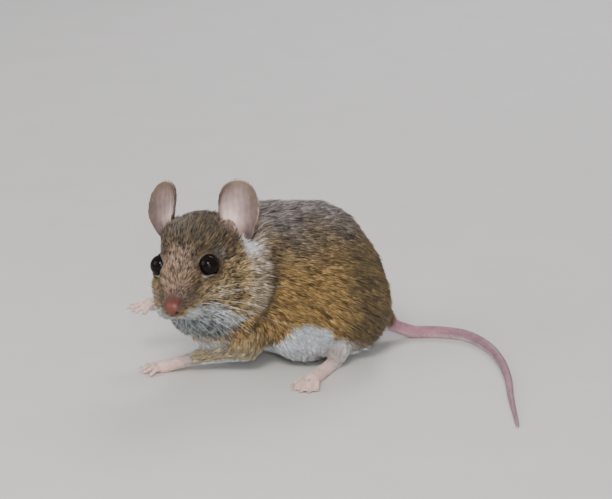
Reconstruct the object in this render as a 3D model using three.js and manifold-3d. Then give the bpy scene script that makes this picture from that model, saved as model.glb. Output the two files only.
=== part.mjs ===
// A life-size field mouse (the long-tailed wood mouse), crouched on the floor with its head turned to
// its left and its right forepaw lifted. Every solid is taken at the outside of the coat.
//
// The mouse is built in its own frame: +X forward along the trunk, +Y to its left, +Z up, millimetres,
// with the floor at Z = 0. One rounded body is grown from anatomical masses that melt into each other,
// and thin cuts then part it into head, neck, trunk, arms and thighs.

import * as THREE from "three";
import { mergeVertices } from "three/addons/utils/BufferGeometryUtils.js";
import Module from "manifold-3d";

const wasm = await Module();
wasm.setup();

// Driving dimensions -------------------------------------------------------------------------------
const gap = 0.3; // clearance between neighbouring pieces
const trunkHeading = 200; // degrees about Z from the part's +X to the mouse's forward direction
const backHeight = 36.6; // floor to the top of the arched back
const trunkHalfWidth = 13.4;
const headTurn = 52; // degrees to the mouse's left
const headNod = 20; // degrees nose down
const headTilt = 7; // degrees, left side up
const eyeMidpoint = [32.6, 10.6, 27.9]; // between the two eyes
const eyeRadius = 2.45;
const eyeSpacing = 11.6; // centre to centre
const noseReach = 11.8; // from the line of the eyes forward to the nose tip
const earHeight = 15.2;
const earWidth = 9.9;
const earTopWidening = 0.22;
const earFootNarrowing = 0.18;
const earThickness = 0.62;
const earRoot = [-11.2, 8.4, -3.3]; // lowest point of the ear, from the middle of the eyes
const earTurn = 21; // degrees, mouth of the ear outward from the nose
const earLean = 24; // degrees backward
const earTilt = 3; // degrees outward
const earCurl = [3.6, 8]; // radius of the cup at its foot and near its top
const earTopLean = 1.6;
const armRadii = [4.2, 3.3, 1.5]; // shoulder, elbow, wrist
const palmRadii = [1.4, 1.75];
const palmWidth = 1.3; // from the middle of the palm to its outer fingers
const fingerLengths = [3.2, 4.1, 4.1, 3.1];
const fingerRadius = 0.55;
const fingerSpread = 34; // degrees from the middle of the paw to its outer fingers
const hindFootLength = 19.5;
const soleShare = 0.62; // of the hind foot, from the heel to the root of the toes
const shankRadii = [4, 2.6, 1.75]; // knee, shank, heel
const soleRadii = [1.6, 1.9];
const soleWidth = 1.45;
const toeLengths = [3.6, 5, 5.4, 5, 3.2];
const toeRadius = 0.62;
const toeSpread = 24;
const clawLength = 1.3;
const clawRadius = 0.25;
const tailRootRadius = 1.6;
const tailTipRadius = 0.45;
const tailPress = 0.9; // share of its radius at which the tail's middle lies above the floor
const tailCuts = [0, 0.3, 0.65, 1]; // shares of its length at which the tail is parted

const skinColour = { brown: 0x86704f, pink: 0xb58f8b, ear: 0x9c8580, tail: 0xa0868c, eye: 0x0a0908 };

const degrees = THREE.MathUtils.degToRad;
const vector = (p) => new THREE.Vector3(...p);

// Frames: a head point or a body point, both given in the mouse's frame ---------------------------------
const bodyFrame = new THREE.Matrix4();
const headFrame = new THREE.Matrix4().compose(
  vector(eyeMidpoint),
  new THREE.Quaternion().setFromEuler(
    new THREE.Euler(degrees(headTilt), degrees(headNod), degrees(headTurn), "ZYX"),
  ),
  new THREE.Vector3(1, 1, 1),
);

// Flesh: signed distances to rounded masses -------------------------------------------------------------

// An ellipsoid of flesh, turned by yaw, pitch and roll in its frame.
function mass({ frame = bodyFrame, at, half, yaw = 0, pitch = 0, roll = 0, blend = 5 }) {
  const turn = new THREE.Quaternion().setFromEuler(
    new THREE.Euler(degrees(roll), degrees(pitch), degrees(yaw), "ZYX"),
  );
  const toLocal = new THREE.Matrix4()
    .multiplyMatrices(frame, new THREE.Matrix4().compose(vector(at), turn, new THREE.Vector3(1, 1, 1)))
    .invert();
  const [a, b, c] = half;
  const local = new THREE.Vector3();
  const distance = (p) => {
    local.copy(p).applyMatrix4(toLocal);
    const scaled = Math.hypot(local.x / a, local.y / b, local.z / c);
    const steep = Math.hypot(local.x / (a * a), local.y / (b * b), local.z / (c * c));
    return steep < 1e-9 ? -Math.min(a, b, c) : (scaled * (scaled - 1)) / steep;
  };
  return { distance, blend };
}

// A tapering bar of flesh between two points.
function bar({ frame = bodyFrame, from, to, radii, blend = 4 }) {
  const start = vector(from).applyMatrix4(frame);
  const along = vector(to).applyMatrix4(frame).sub(start);
  const offset = new THREE.Vector3();
  const distance = (p) => {
    offset.copy(p).sub(start);
    const share = THREE.MathUtils.clamp(offset.dot(along) / along.lengthSq(), 0, 1);
    return offset.addScaledVector(along, -share).length() - THREE.MathUtils.lerp(...radii, share);
  };
  return { distance, blend };
}

// The same mass on both sides of the body or head.
function pair(make, spec) {
  const mirrored = { ...spec, at: [spec.at[0], -spec.at[1], spec.at[2]] };
  mirrored.yaw = -(spec.yaw ?? 0);
  mirrored.roll = -(spec.roll ?? 0);
  return [make(spec), make(mirrored)];
}

// Distance to all the masses melted together: near a joint of two, the surface fills by their blend.
function melt(masses) {
  return (p) => {
    let nearest = masses[0].distance(p);
    for (const { distance, blend } of masses.slice(1)) {
      const next = distance(p);
      const mix = Math.max(blend - Math.abs(nearest - next), 0) / blend;
      nearest = Math.min(nearest, next) - (mix * mix * blend) / 4;
    }
    return nearest;
  };
}

const trunkMasses = [
  mass({ at: [-1.4, 0, backHeight - 18], half: [14.6, trunkHalfWidth, 17.6] }), // loin
  mass({ at: [-7.4, 0, 14.2], half: [11.8, 12.4, 12.6] }), // rump
  mass({ at: [2, 0, 12.9], half: [16.5, trunkHalfWidth, 11] }), // belly
  mass({ at: [8.5, 0, backHeight - 17], half: [13.4, 12.2, 17.6] }), // ribs
  mass({ at: [14.5, 0.5, 22], half: [10.4, 10.8, 14.4] }), // shoulders
  mass({ at: [21.6, 3, 12.6], half: [8.8, 8.8, 8.6] }), // chest
  ...pair(mass, { at: [-6.6, 8.3, 12.6], half: [11, 7.4, 12], yaw: -8, blend: 3.5 }), // thighs
  ...pair(mass, { at: [3, 9, 6.6], half: [7.6, 5.6, 5.6], yaw: 6, blend: 4 }), // knees
  ...pair(mass, { at: [15, 8, 13], half: [6.6, 4.6, 8.2], blend: 3 }), // upper arms
  bar({ from: [-17, 0, 7], to: [-21, 0, 4.6], radii: [4.6, 2.2], blend: 4 }), // tail root
];

const neckMasses = [
  bar({ from: [17, 1, 23], to: [25.5, 3.5, 28.5], radii: [10, 8.4], blend: 5 }), // nape
  mass({ at: [25.5, 6.5, 17.5], half: [8, 8.4, 8.6], blend: 4 }), // throat
];

const head = headFrame;
const headMasses = [
  mass({ frame: head, at: [-7.6, 0, -0.8], half: [9.6, 8.4, 7.4], blend: 3 }), // cranium
  mass({ frame: head, at: [-0.6, 0, -1.6], half: [7.6, 6.5, 5.9], blend: 3 }), // face
  // snout
  bar({ frame: head, from: [1.5, 0, -2.6], to: [noseReach - 2.2, 0, -4.4], radii: [5.2, 2.5], blend: 2.5 }),
  // whisker pads
  ...pair(mass, { frame: head, at: [6.2, 3.3, -5.9], half: [4.6, 3.3, 3.2], yaw: -22, blend: 2 }),
  // cheeks
  ...pair(mass, { frame: head, at: [-1.4, 5.4, -6.2], half: [7, 4.6, 5.2], yaw: -10, blend: 3.5 }),
  bar({ frame: head, from: [-3, 0, -9.4], to: [5.4, 0, -8.8], radii: [5, 2.8], blend: 3 }), // lower jaw
  mass({ frame: head, at: [2, 0, -11.6], half: [6, 5.7, 5], blend: 3 }), // chin and throat
  // ear roots
  ...pair(mass, { frame: head, at: [-10.6, 6.6, 0.4], half: [3.6, 3, 4.4], blend: 3 }),
  mass({ frame: head, at: [noseReach - 1.3, 0, -4.1], half: [1.4, 1.6, 1.2], blend: 1 }), // nose
];

const wholeFlesh = melt([...trunkMasses, ...neckMasses, ...headMasses]);

// Solids --------------------------------------------------------------------------------------------

// A sphere geometry whose rings become the given stations. A station has a centre, a side and an up
// direction, and reach(angle), the distance from its centre to the surface.
function loft(stations, sides, [startPole, endPole]) {
  const rows = stations.length + 1;
  const geometry = new THREE.SphereGeometry(1, sides, rows);
  const { position, uv } = geometry.attributes;
  const point = new THREE.Vector3();
  for (let i = 0; i < position.count; i++) {
    const row = Math.round((1 - uv.getY(i)) * rows);
    const column = (i % (sides + 1)) % sides;
    if (row === 0) point.copy(startPole);
    else if (row === rows) point.copy(endPole);
    else {
      const { centre, side, up, reach } = stations[row - 1];
      const angle = (column / sides) * 2 * Math.PI;
      const radius = reach(angle);
      point.copy(centre).addScaledVector(side, -Math.cos(angle) * radius);
      point.addScaledVector(up, Math.sin(angle) * radius);
    }
    position.setXYZ(i, point.x, point.y, point.z);
  }
  return solid(geometry);
}

function solid(geometry) {
  geometry.deleteAttribute("normal");
  geometry.deleteAttribute("uv");
  const merged = mergeVertices(geometry, 1e-4);
  return new wasm.Manifold(
    new wasm.Mesh({
      numProp: 3,
      vertProperties: new Float32Array(merged.attributes.position.array),
      triVerts: new Uint32Array(merged.index.array),
    }),
  );
}

function placed(geometry, { at = [0, 0, 0], yaw = 0, pitch = 0, roll = 0, frame = bodyFrame }) {
  geometry.applyMatrix4(
    new THREE.Matrix4().compose(
      vector(at),
      new THREE.Quaternion().setFromEuler(
        new THREE.Euler(degrees(roll), degrees(pitch), degrees(yaw), "ZYX"),
      ),
      new THREE.Vector3(1, 1, 1),
    ),
  );
  return solid(geometry.applyMatrix4(frame));
}

function ellipsoid({ half, grow = 0, sides = 20, ...place }) {
  const geometry = new THREE.SphereGeometry(1, sides, Math.round(sides / 2));
  geometry.scale(half[0] + grow, half[1] + grow, half[2] + grow);
  return placed(geometry, place);
}

// The outside of the flesh round a straight core, found by walking out from the core along rays.
function fleshRound({ from, to, flesh, rings, sides }) {
  const [start, end] = [vector(from), vector(to)];
  const axis = end.clone().sub(start).normalize();
  const side = new THREE.Vector3(0, 0, 1).cross(axis).normalize();
  const up = axis.clone().cross(side);
  const probe = new THREE.Vector3();
  const stepOut = 0.5;
  const farthest = 40;
  const halvings = 14;
  const reachFrom = (origin, direction) => {
    const depth = (r) => flesh(probe.copy(origin).addScaledVector(direction, r));
    let outer = stepOut;
    while (depth(outer) < 0 && outer < farthest) outer += stepOut;
    let inner = outer - stepOut;
    for (let pass = 0; pass < halvings; pass++) {
      const middle = (inner + outer) / 2;
      if (depth(middle) < 0) inner = middle;
      else outer = middle;
    }
    return inner;
  };
  const firstPole = start.clone().addScaledVector(axis, -reachFrom(start, axis.clone().negate()));
  const lastPole = end.clone().addScaledVector(axis, reachFrom(end, axis));
  const stations = [];
  for (let ring = 1; ring <= rings; ring++) {
    const share = (1 - Math.cos((Math.PI * ring) / (rings + 1))) / 2;
    const centre = firstPole.clone().lerp(lastPole, share);
    const reach = (angle) => {
      const direction = side.clone().multiplyScalar(-Math.cos(angle));
      return reachFrom(centre, direction.addScaledVector(up, Math.sin(angle)));
    };
    stations.push({ centre, side, up, reach });
  }
  return loft(stations, sides, [firstPole, lastPole]);
}

// A limb along a smooth curve through its joints, with a radius at each joint and round ends.
function limb({ joints, radii, flatten = 1, sides = 12, steps = 3, grow = 0 }) {
  const curve = new THREE.CatmullRomCurve3(joints.map(vector), false, "centripetal");
  const spans = joints.length - 1;
  const radiusAt = (t) => {
    const place = Math.min(Math.floor(t * spans), spans - 1);
    const share = THREE.MathUtils.smoothstep(t * spans - place, 0, 1);
    return THREE.MathUtils.lerp(radii[place], radii[place + 1], share) + grow;
  };
  const frameAt = (t) => {
    const axis = curve.getTangent(t);
    const side = new THREE.Vector3(0, 0, 1).cross(axis);
    if (side.length() < 0.05) side.set(0, 1, 0);
    side.normalize();
    return { axis, side, up: axis.clone().cross(side) };
  };
  const stations = [];
  const addStation = (t, beyond, radius) => {
    const { axis, side, up } = frameAt(t);
    const centre = curve.getPoint(t).addScaledVector(axis, beyond);
    const reach = (angle) => radius / Math.hypot(Math.cos(angle), Math.sin(angle) / flatten);
    stations.push({ centre, side, up, reach });
  };
  const capRings = 1;
  for (let ring = 1; ring <= capRings; ring++) {
    const angle = (Math.PI / 2) * (ring / (capRings + 1));
    addStation(0, -radiusAt(0) * Math.cos(angle), radiusAt(0) * Math.sin(angle));
  }
  for (let ring = 0; ring <= spans * steps; ring++) {
    const t = ring / (spans * steps);
    addStation(t, 0, radiusAt(t));
  }
  for (let ring = capRings; ring >= 1; ring--) {
    const angle = (Math.PI / 2) * (ring / (capRings + 1));
    addStation(1, radiusAt(1) * Math.cos(angle), radiusAt(1) * Math.sin(angle));
  }
  const poles = [0, 1].map((t) =>
    curve.getPoint(t).addScaledVector(frameAt(t).axis, (2 * t - 1) * radiusAt(t)),
  );
  return loft(stations, sides, poles);
}

const unite = (solids) => solids.reduce((whole, next) => whole.add(next));
const remove = (from, cutters) => cutters.reduce((left, cutter) => left.subtract(cutter), from);

// Everything on one side of a plane: a big box whose face lies on the plane, a distance ahead of it.
function halfSpace(point, normal, ahead) {
  const size = 200;
  const geometry = new THREE.BoxGeometry(size, size, size);
  geometry.translate(size / 2 + ahead, 0, 0);
  const turn = new THREE.Quaternion().setFromUnitVectors(new THREE.Vector3(1, 0, 0), normal);
  geometry.applyQuaternion(turn);
  return solid(geometry.translate(point.x, point.y, point.z));
}

const floor = halfSpace(new THREE.Vector3(0, 0, 0), new THREE.Vector3(0, 0, -1), 0);

// Limbs ---------------------------------------------------------------------------------------------

// A toe or finger that ends in a thin claw.
function digit({ root, tip, radius, arch = 0.6 }) {
  const knuckle = root.map((value, axis) => (value + tip[axis]) / 2 + (axis === 2 ? arch : 0));
  const ahead = vector(tip).sub(vector(root)).setLength(clawLength);
  const clawEnd = vector(tip).add(ahead).toArray();
  const joints = [root, knuckle, tip, clawEnd];
  return limb({ joints, radii: [radius, radius * 0.85, radius, clawRadius], sides: 6, steps: 1 });
}

// Digits fanned out from the end of a palm or sole. heading is in degrees from the mouse's forward.
function fan({ at, heading, spread, lengths, radius, width, drop = 0 }) {
  const middle = (lengths.length - 1) / 2;
  return lengths.map((length, i) => {
    const turn = degrees(heading + ((middle - i) / middle) * spread);
    const across = degrees(heading + 90);
    const offset = ((middle - i) / middle) * width;
    const root = [at[0] + Math.cos(across) * offset, at[1] + Math.sin(across) * offset, at[2]];
    const tip = [root[0] + Math.cos(turn) * length, root[1] + Math.sin(turn) * length, radius * 0.9 + drop];
    return digit({ root, tip, radius });
  });
}

// An arm: elbow, wrist, palm and four digits. drop lifts the whole paw off the floor.
function foreleg({ shoulder, elbow, wrist, palm, heading, drop, grow = 0 }) {
  const arm = limb({ joints: [shoulder, elbow, wrist], radii: armRadii, sides: 12, steps: 2, grow });
  const hand = limb({ joints: [wrist, palm], radii: palmRadii, flatten: 0.75, sides: 8, steps: 2, grow });
  if (grow) return [arm, hand];
  const fingers = fan({
    at: palm,
    heading,
    spread: fingerSpread,
    lengths: fingerLengths,
    radius: fingerRadius,
    width: palmWidth,
    drop,
  });
  return [arm, hand, ...fingers];
}

// A hind leg below the thigh: shank, sole from heel to toes, and five toes.
function hindleg({ side, heel, splay, grow = 0 }) {
  const turn = degrees(splay * side);
  const sole = hindFootLength * soleShare;
  const ball = [heel[0] + Math.cos(turn) * sole, heel[1] + Math.sin(turn) * sole, 1.25];
  const knee = [heel[0] + 6, heel[1] - side * 2.5, 9];
  const ankle = [heel[0] - 1.2, heel[1] - side * 0.6, 5];
  const shank = limb({ joints: [knee, ankle, heel], radii: shankRadii, sides: 10, steps: 2, grow });
  const foot = limb({ joints: [heel, ball], radii: soleRadii, flatten: 0.8, sides: 8, steps: 2, grow });
  if (grow) return [shank, foot];
  const toes = fan({
    at: ball,
    heading: splay * side,
    spread: toeSpread,
    lengths: toeLengths,
    radius: toeRadius,
    width: soleWidth,
  });
  return [shank, foot, ...toes];
}

const leftArm = {
  shoulder: [15.5, 8.5, 12],
  elbow: [18, 8.6, 6.4],
  wrist: [29.8, 3.6, 2.6],
  palm: [36, 2.1, 1.05],
  heading: -14,
  drop: 0,
};
const rightArm = {
  shoulder: [17, -7, 13],
  elbow: [21, -9, 8.5],
  wrist: [31.5, -7.2, 12],
  palm: [36, -6.4, 13.6],
  heading: 6,
  drop: 12.2,
};
const leftLeg = { side: 1, heel: [-2.2, 13.2, 1.2], splay: 44 };
const rightLeg = { side: -1, heel: [-2.2, -13.2, 1.2], splay: 28 };

// The regions of the trunk that belong to the limbs.
const thighRegion = (side, grow) =>
  ellipsoid({ at: [-5.6, side * 12, 10.4], half: [10.6, 7.6, 10.6], yaw: -side * 8, grow, sides: 12 });
const armRegion = (side, grow) =>
  ellipsoid({ at: [15, side * 11, 12], half: [5.6, 5.6, 7.4], grow, sides: 12 });

// The whole body and the cuts that part it ------------------------------------------------------------
const neckBase = new THREE.Vector3(20.5, 1.5, 24);
const neckBaseNormal = new THREE.Vector3(0.86, 0.26, 0.44).normalize();
const skullBase = new THREE.Vector3(-12.4, 0, -1.5).applyMatrix4(head);
const skullBaseNormal = new THREE.Vector3(0.93, 0, 0.36).normalize().transformDirection(head);
const away = (normal) => normal.clone().negate();

const torso = fleshRound({ from: [-14, 0, 13], to: [17, 1, 17.5], flesh: wholeFlesh, rings: 23, sides: 26 });
const nape = fleshRound({ from: [18, 1.5, 21], to: [29, 8, 24.5], flesh: wholeFlesh, rings: 20, sides: 22 });
const face = fleshRound({
  from: new THREE.Vector3(-14, 0, -2.4).applyMatrix4(head).toArray(),
  to: new THREE.Vector3(noseReach - 2, 0, -4.3).applyMatrix4(head).toArray(),
  flesh: wholeFlesh,
  rings: 26,
  sides: 24,
});

const behindNeck = halfSpace(neckBase, away(neckBaseNormal), gap / 2);
const aheadOfNeckBase = halfSpace(neckBase, neckBaseNormal, gap / 2);
const behindSkull = halfSpace(skullBase, away(skullBaseNormal), gap / 2);
const aheadOfSkullBase = halfSpace(skullBase, skullBaseNormal, gap / 2);

const eyeAt = (side) => new THREE.Vector3(0, (side * eyeSpacing) / 2, 0).applyMatrix4(head).toArray();
const eyeHalf = [eyeRadius, eyeRadius, eyeRadius];
const eye = (side, grow) => ellipsoid({ at: eyeAt(side), half: eyeHalf, grow, sides: 12 });

// Ears: a thin oval leaf, curled into a cup whose mouth faces forward and outward -------------------------
function ear(side, grow) {
  const geometry = new THREE.SphereGeometry(1, 20, 8);
  geometry.rotateX(Math.PI / 2);
  const { position } = geometry.attributes;
  const half = earThickness / 2 + grow;
  for (let i = 0; i < position.count; i++) {
    const [x, y, z] = [position.getX(i), position.getY(i), position.getZ(i)];
    const rim = Math.hypot(x, y);
    const angle = Math.atan2(y, x);
    const leaf = Math.asin(Math.min(rim, 1)) / (Math.PI / 2); // even steps from the middle out to the rim
    const height = leaf * Math.sin(angle);
    const breadth = 1 + earTopWidening * height - earFootNarrowing * Math.max(0, -height) ** 1.5;
    const across = leaf * Math.cos(angle) * (earWidth / 2 + grow) * breadth;
    const upward = (height * (earHeight + 2 * grow)) / 2 + earHeight / 2;
    const curl = THREE.MathUtils.lerp(...earCurl, THREE.MathUtils.smoothstep(height, -1, 0.6));
    const thickness = Math.sign(z) * half * (1 - leaf ** 6 * 0.25) * (rim > 0.999 ? 0 : 1);
    const bend = across / curl;
    const radius = curl - thickness;
    const lean = earTopLean * THREE.MathUtils.smoothstep(height, -0.2, 1); // the top leans back
    position.setXYZ(i, curl - radius * Math.cos(bend) - lean, radius * Math.sin(bend), upward);
  }
  geometry.applyMatrix4(earPlace(side));
  return solid(geometry);
}

// Where an ear stands on the head: its mouth turned outward and the whole leaf leaning back.
function earPlace(side) {
  const turn = new THREE.Euler(-degrees(earTilt) * side, -degrees(earLean), degrees(earTurn) * side, "XYZ");
  const stand = new THREE.Matrix4().compose(
    new THREE.Vector3(earRoot[0], side * earRoot[1], earRoot[2]),
    new THREE.Quaternion().setFromEuler(turn),
    new THREE.Vector3(1, 1, 1),
  );
  return stand.premultiply(head);
}

// Tail: lies on the floor in the curve of a hook, in three lengths ---------------------------------------
const tailPath = new THREE.CatmullRomCurve3(
  [
    [-19, 0.2, 5.4],
    [-22.6, 0.6, 3.2],
    [-27.8, 1.4, 1.2],
    [-33.3, 3.4, 0],
    [-37.8, 7.2, 0],
    [-39.7, 14, 0],
    [-39.1, 23.4, 0],
    [-36.2, 34.4, 0],
    [-31.8, 45.6, 0],
    [-26.4, 60.5, 0],
  ].map(vector),
  false,
  "centripetal",
);
const tailRadius = (t) => THREE.MathUtils.lerp(tailRootRadius, tailTipRadius, t ** 1.25);

function tailLength(from, to, grow = 0) {
  const length = tailPath.getLength();
  const inset = gap / 2 / length;
  const [start, end] = [from > 0 ? from + inset : from, to < 1 ? to - inset : to];
  const rings = 14;
  const stations = Array.from({ length: rings + 1 }, (_, i) => {
    const t = THREE.MathUtils.lerp(start, end, i / rings);
    const centre = tailPath.getPointAt(t);
    const axis = tailPath.getTangentAt(t);
    const side = new THREE.Vector3(0, 0, 1).cross(axis).normalize();
    const radius = tailRadius(t) + grow;
    centre.z = Math.max(centre.z, tailRadius(t) * tailPress);
    return { centre, side, up: axis.clone().cross(side), reach: () => radius };
  });
  return loft(stations, 9, [stations[0].centre, stations.at(-1).centre]);
}

// Parting ---------------------------------------------------------------------------------------------
const bothSides = [1, -1];
const limbClearance = [
  ...foreleg({ ...leftArm, grow: gap }),
  ...foreleg({ ...rightArm, grow: gap }),
  ...hindleg({ ...leftLeg, grow: gap }),
  ...hindleg({ ...rightLeg, grow: gap }),
  ...bothSides.flatMap((side) => [thighRegion(side, gap), armRegion(side, gap)]),
];
const earClearance = bothSides.map((side) => ear(side, gap));
const trunkBlock = torso.intersect(behindNeck);
const tailClearance = tailLength(0, tailCuts[1], gap);
const trunk = remove(trunkBlock, [...limbClearance, tailClearance, floor]);
const neckBlock = nape.intersect(aheadOfNeckBase).intersect(behindSkull);
const neck = remove(neckBlock, [...limbClearance, ...earClearance]);
const skull = remove(face.intersect(aheadOfSkullBase).intersect(aheadOfNeckBase), [
  ...limbClearance,
  ...earClearance,
  ...bothSides.map((side) => eye(side, gap)),
]);
const thigh = (side) => trunkBlock.intersect(thighRegion(side, 0));
const upperArm = (side) => trunkBlock.intersect(armRegion(side, 0));
const onFloor = (made) => made.subtract(floor);

const pieces = [
  ["trunk", trunk, skinColour.brown],
  ["neck", neck, skinColour.brown],
  ["head", skull, skinColour.brown],
  ["foreleg_left", onFloor(unite([upperArm(1), ...foreleg(leftArm)])), skinColour.pink],
  ["foreleg_right", unite([upperArm(-1), ...foreleg(rightArm)]), skinColour.pink],
  ["hindleg_left", onFloor(unite([thigh(1), ...hindleg(leftLeg)])), skinColour.pink],
  ["hindleg_right", onFloor(unite([thigh(-1), ...hindleg(rightLeg)])), skinColour.pink],
  ["ear_left", ear(1, 0), skinColour.ear],
  ["ear_right", ear(-1, 0), skinColour.ear],
  ["eye_left", eye(1, 0), skinColour.eye],
  ["eye_right", eye(-1, 0), skinColour.eye],
  ["tail_base", onFloor(tailLength(tailCuts[0], tailCuts[1])), skinColour.tail],
  ["tail_middle", onFloor(tailLength(tailCuts[1], tailCuts[2])), skinColour.tail],
  ["tail_tip", onFloor(tailLength(tailCuts[2], tailCuts[3])), skinColour.tail],
];

function asMesh(name, made, color) {
  const { vertProperties, triVerts } = made.getMesh();
  const geometry = new THREE.BufferGeometry();
  geometry.setAttribute("position", new THREE.BufferAttribute(vertProperties, 3));
  geometry.setIndex(new THREE.BufferAttribute(triVerts, 1));
  const mesh = new THREE.Mesh(geometry, new THREE.MeshStandardMaterial({ color, roughness: 0.8 }));
  mesh.name = name;
  return mesh;
}

const mouse = new THREE.Group();
mouse.rotation.z = degrees(trunkHeading);
for (const piece of pieces) mouse.add(asMesh(...piece));

const part = new THREE.Group();
part.add(mouse);
const box = new THREE.Box3().setFromObject(part, true);
const middle = box.getCenter(new THREE.Vector3());
part.position.set(-middle.x, -middle.y, -box.min.z);
export default part;
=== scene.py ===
# A life-size field mouse: one skin under a coat of solid mesh hairs, glossy eyes, claws and whiskers.
import bmesh
import bpy
import math
import numpy as np
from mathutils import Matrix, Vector, kdtree
from mathutils.bvhtree import BVHTree


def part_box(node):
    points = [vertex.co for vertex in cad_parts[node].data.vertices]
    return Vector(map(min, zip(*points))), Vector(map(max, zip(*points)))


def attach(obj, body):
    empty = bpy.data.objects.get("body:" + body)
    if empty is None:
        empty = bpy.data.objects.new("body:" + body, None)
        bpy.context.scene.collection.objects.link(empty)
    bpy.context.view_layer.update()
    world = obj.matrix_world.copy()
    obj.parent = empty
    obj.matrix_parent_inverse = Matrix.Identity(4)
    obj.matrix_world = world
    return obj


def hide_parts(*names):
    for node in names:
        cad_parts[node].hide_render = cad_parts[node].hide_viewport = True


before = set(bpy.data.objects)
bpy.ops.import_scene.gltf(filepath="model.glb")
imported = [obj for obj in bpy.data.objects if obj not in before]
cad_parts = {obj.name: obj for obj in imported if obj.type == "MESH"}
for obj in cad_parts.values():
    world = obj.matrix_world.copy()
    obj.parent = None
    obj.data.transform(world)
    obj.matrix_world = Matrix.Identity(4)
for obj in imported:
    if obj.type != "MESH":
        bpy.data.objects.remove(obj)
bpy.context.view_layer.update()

mm = 0.001

# ---- placing: the body is worked out in millimetres in the mouse's own frame, +x forward, +y to its left
pose = {
    "heading": 200,
    "headTurn": 52,
    "headNod": 20,
    "headTilt": 7,
    "eyeMidpoint": (32.6, 10.6, 27.9),
    "eyeSpacing": 11.6,
    "eyeRadius": 2.45,
    "noseReach": 11.8,
    "backHeight": 36.6,
    "trunkHalfWidth": 13.4,
}


def turned(yaw=0.0, pitch=0.0, roll=0.0):
    z, y, x = (math.radians(v) for v in (yaw, pitch, roll))
    aboutZ = np.array([[math.cos(z), -math.sin(z), 0], [math.sin(z), math.cos(z), 0], [0, 0, 1]])
    aboutY = np.array([[math.cos(y), 0, math.sin(y)], [0, 1, 0], [-math.sin(y), 0, math.cos(y)]])
    aboutX = np.array([[1, 0, 0], [0, math.cos(x), -math.sin(x)], [0, math.sin(x), math.cos(x)]])
    return aboutZ @ aboutY @ aboutX


headTurned = turned(pose["headTurn"], pose["headNod"], pose["headTilt"])
eyeMiddle = np.array(pose["eyeMidpoint"], float)
bodyTurned = turned(pose["heading"])
boxes = [np.array(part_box(node)) for node in ("eye_left", "eye_right")]
eyesInFrame = (boxes[0].mean(0) + boxes[1].mean(0)) / 2 / mm
shift = eyesInFrame - bodyTurned @ eyeMiddle
shift[2] = 0


def toHead(p):
    return (p - eyeMiddle) @ headTurned


def fromHead(p):
    return np.asarray(p, float) @ headTurned.T + eyeMiddle


def toFrame(p):
    return (np.asarray(p, float) @ bodyTurned.T + shift) * mm


def unit(v):
    return v / np.maximum(np.linalg.norm(v, axis=-1, keepdims=True), 1e-9)


def ramp(low, high, value):
    t = np.clip((value - low) / (high - low), 0, 1)
    return t * t * (3 - 2 * t)


# ---- flesh: rounded masses and tapering bars that melt into each other. coat is the fur's depth there
masses = []


def addMass(part, at, half, yaw=0, blend=5, coat=1.5, inHead=False, pair=False):
    for side in (1, -1) if pair else (1,):
        centre = np.array([at[0], at[1] * side, at[2]], float)
        turn = turned(yaw * side)
        if inHead:
            centre, turn = fromHead(centre), headTurned @ turn
        masses.append({"part": part, "kind": "mass", "centre": centre, "turn": turn,
                       "half": np.array(half, float), "blend": blend, "coat": coat})


def addBar(part, start, end, radii, blend=4, coat=1.5, inHead=False):
    ends = np.array([start, end], float)
    if inHead:
        ends = fromHead(ends)
    masses.append({"part": part, "kind": "bar", "ends": ends, "radii": radii, "blend": blend, "coat": coat})


tall, wide, reach = pose["backHeight"], pose["trunkHalfWidth"], pose["noseReach"]
addMass("trunk", (-1.4, 0, tall - 18), (14.6, wide, 17.6))
addMass("trunk", (-7.4, 0, 14.2), (11.8, 12.4, 12.6))
addMass("trunk", (2, 0, 12.9), (16.5, wide, 11), coat=1.3)
addMass("trunk", (8.5, 0, tall - 17), (13.4, 12.2, 17.6))
addMass("trunk", (14.5, 0.5, 22), (10.4, 10.8, 14.4))
addMass("trunk", (21.6, 3, 12.6), (8.8, 8.8, 8.6), coat=1.6)
addMass("trunk", (-6.6, 8.3, 12.6), (11, 7.4, 12), yaw=-8, blend=3.5, pair=True)
addMass("trunk", (3, 9, 6.6), (7.6, 5.6, 5.6), yaw=6, blend=4, coat=1.2, pair=True)
addMass("trunk", (15, 8, 13), (6.6, 4.6, 8.2), blend=3, coat=1.2, pair=True)
addBar("trunk", (-17, 0, 7), (-21, 0, 4.6), (4.6, 2.2), coat=1)
addBar("neck", (17, 1, 23), (25.5, 3.5, 28.5), (10, 8.4), blend=5)
addMass("neck", (25.5, 6.5, 17.5), (8, 8.4, 8.6), blend=4, coat=1.7)
addMass("head", (-7.6, 0, -0.8), (9.6, 8.4, 7.4), blend=3, coat=1.0, inHead=True)
addMass("head", (-0.6, 0, -1.6), (7.6, 6.5, 5.9), blend=3, coat=0.7, inHead=True)
addBar("head", (1.5, 0, -2.6), (reach - 2.2, 0, -4.4), (5.2, 2.5), blend=2.5, coat=0.35, inHead=True)
addMass("head", (6.2, 3.3, -5.9), (4.6, 3.3, 3.2), yaw=-22, blend=2, coat=0.45, inHead=True, pair=True)
addMass("head", (-1.4, 5.4, -6.2), (7, 4.6, 5.2), yaw=-10, blend=3.5, coat=1.1, inHead=True, pair=True)
addBar("head", (-3, 0, -9.4), (5.4, 0, -8.8), (5, 2.8), blend=3, coat=1.0, inHead=True)
addMass("head", (2, 0, -11.6), (6, 5.7, 5), blend=3, coat=0.9, inHead=True)
addMass("head", (-10.6, 6.2, 0.3), (3.3, 2.7, 3.5), blend=2.6, coat=0.9, inHead=True, pair=True)
addMass("head", (reach - 1.5, 0, -3.6), (1.5, 1.95, 1.3), blend=1.3, coat=0.0, inHead=True)
eyeSide = pose["eyeSpacing"] / 2
addMass("head", (0, eyeSide, 0), (2.7, 2.7, 2.7), blend=1.6, coat=0.0, inHead=True, pair=True)

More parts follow.
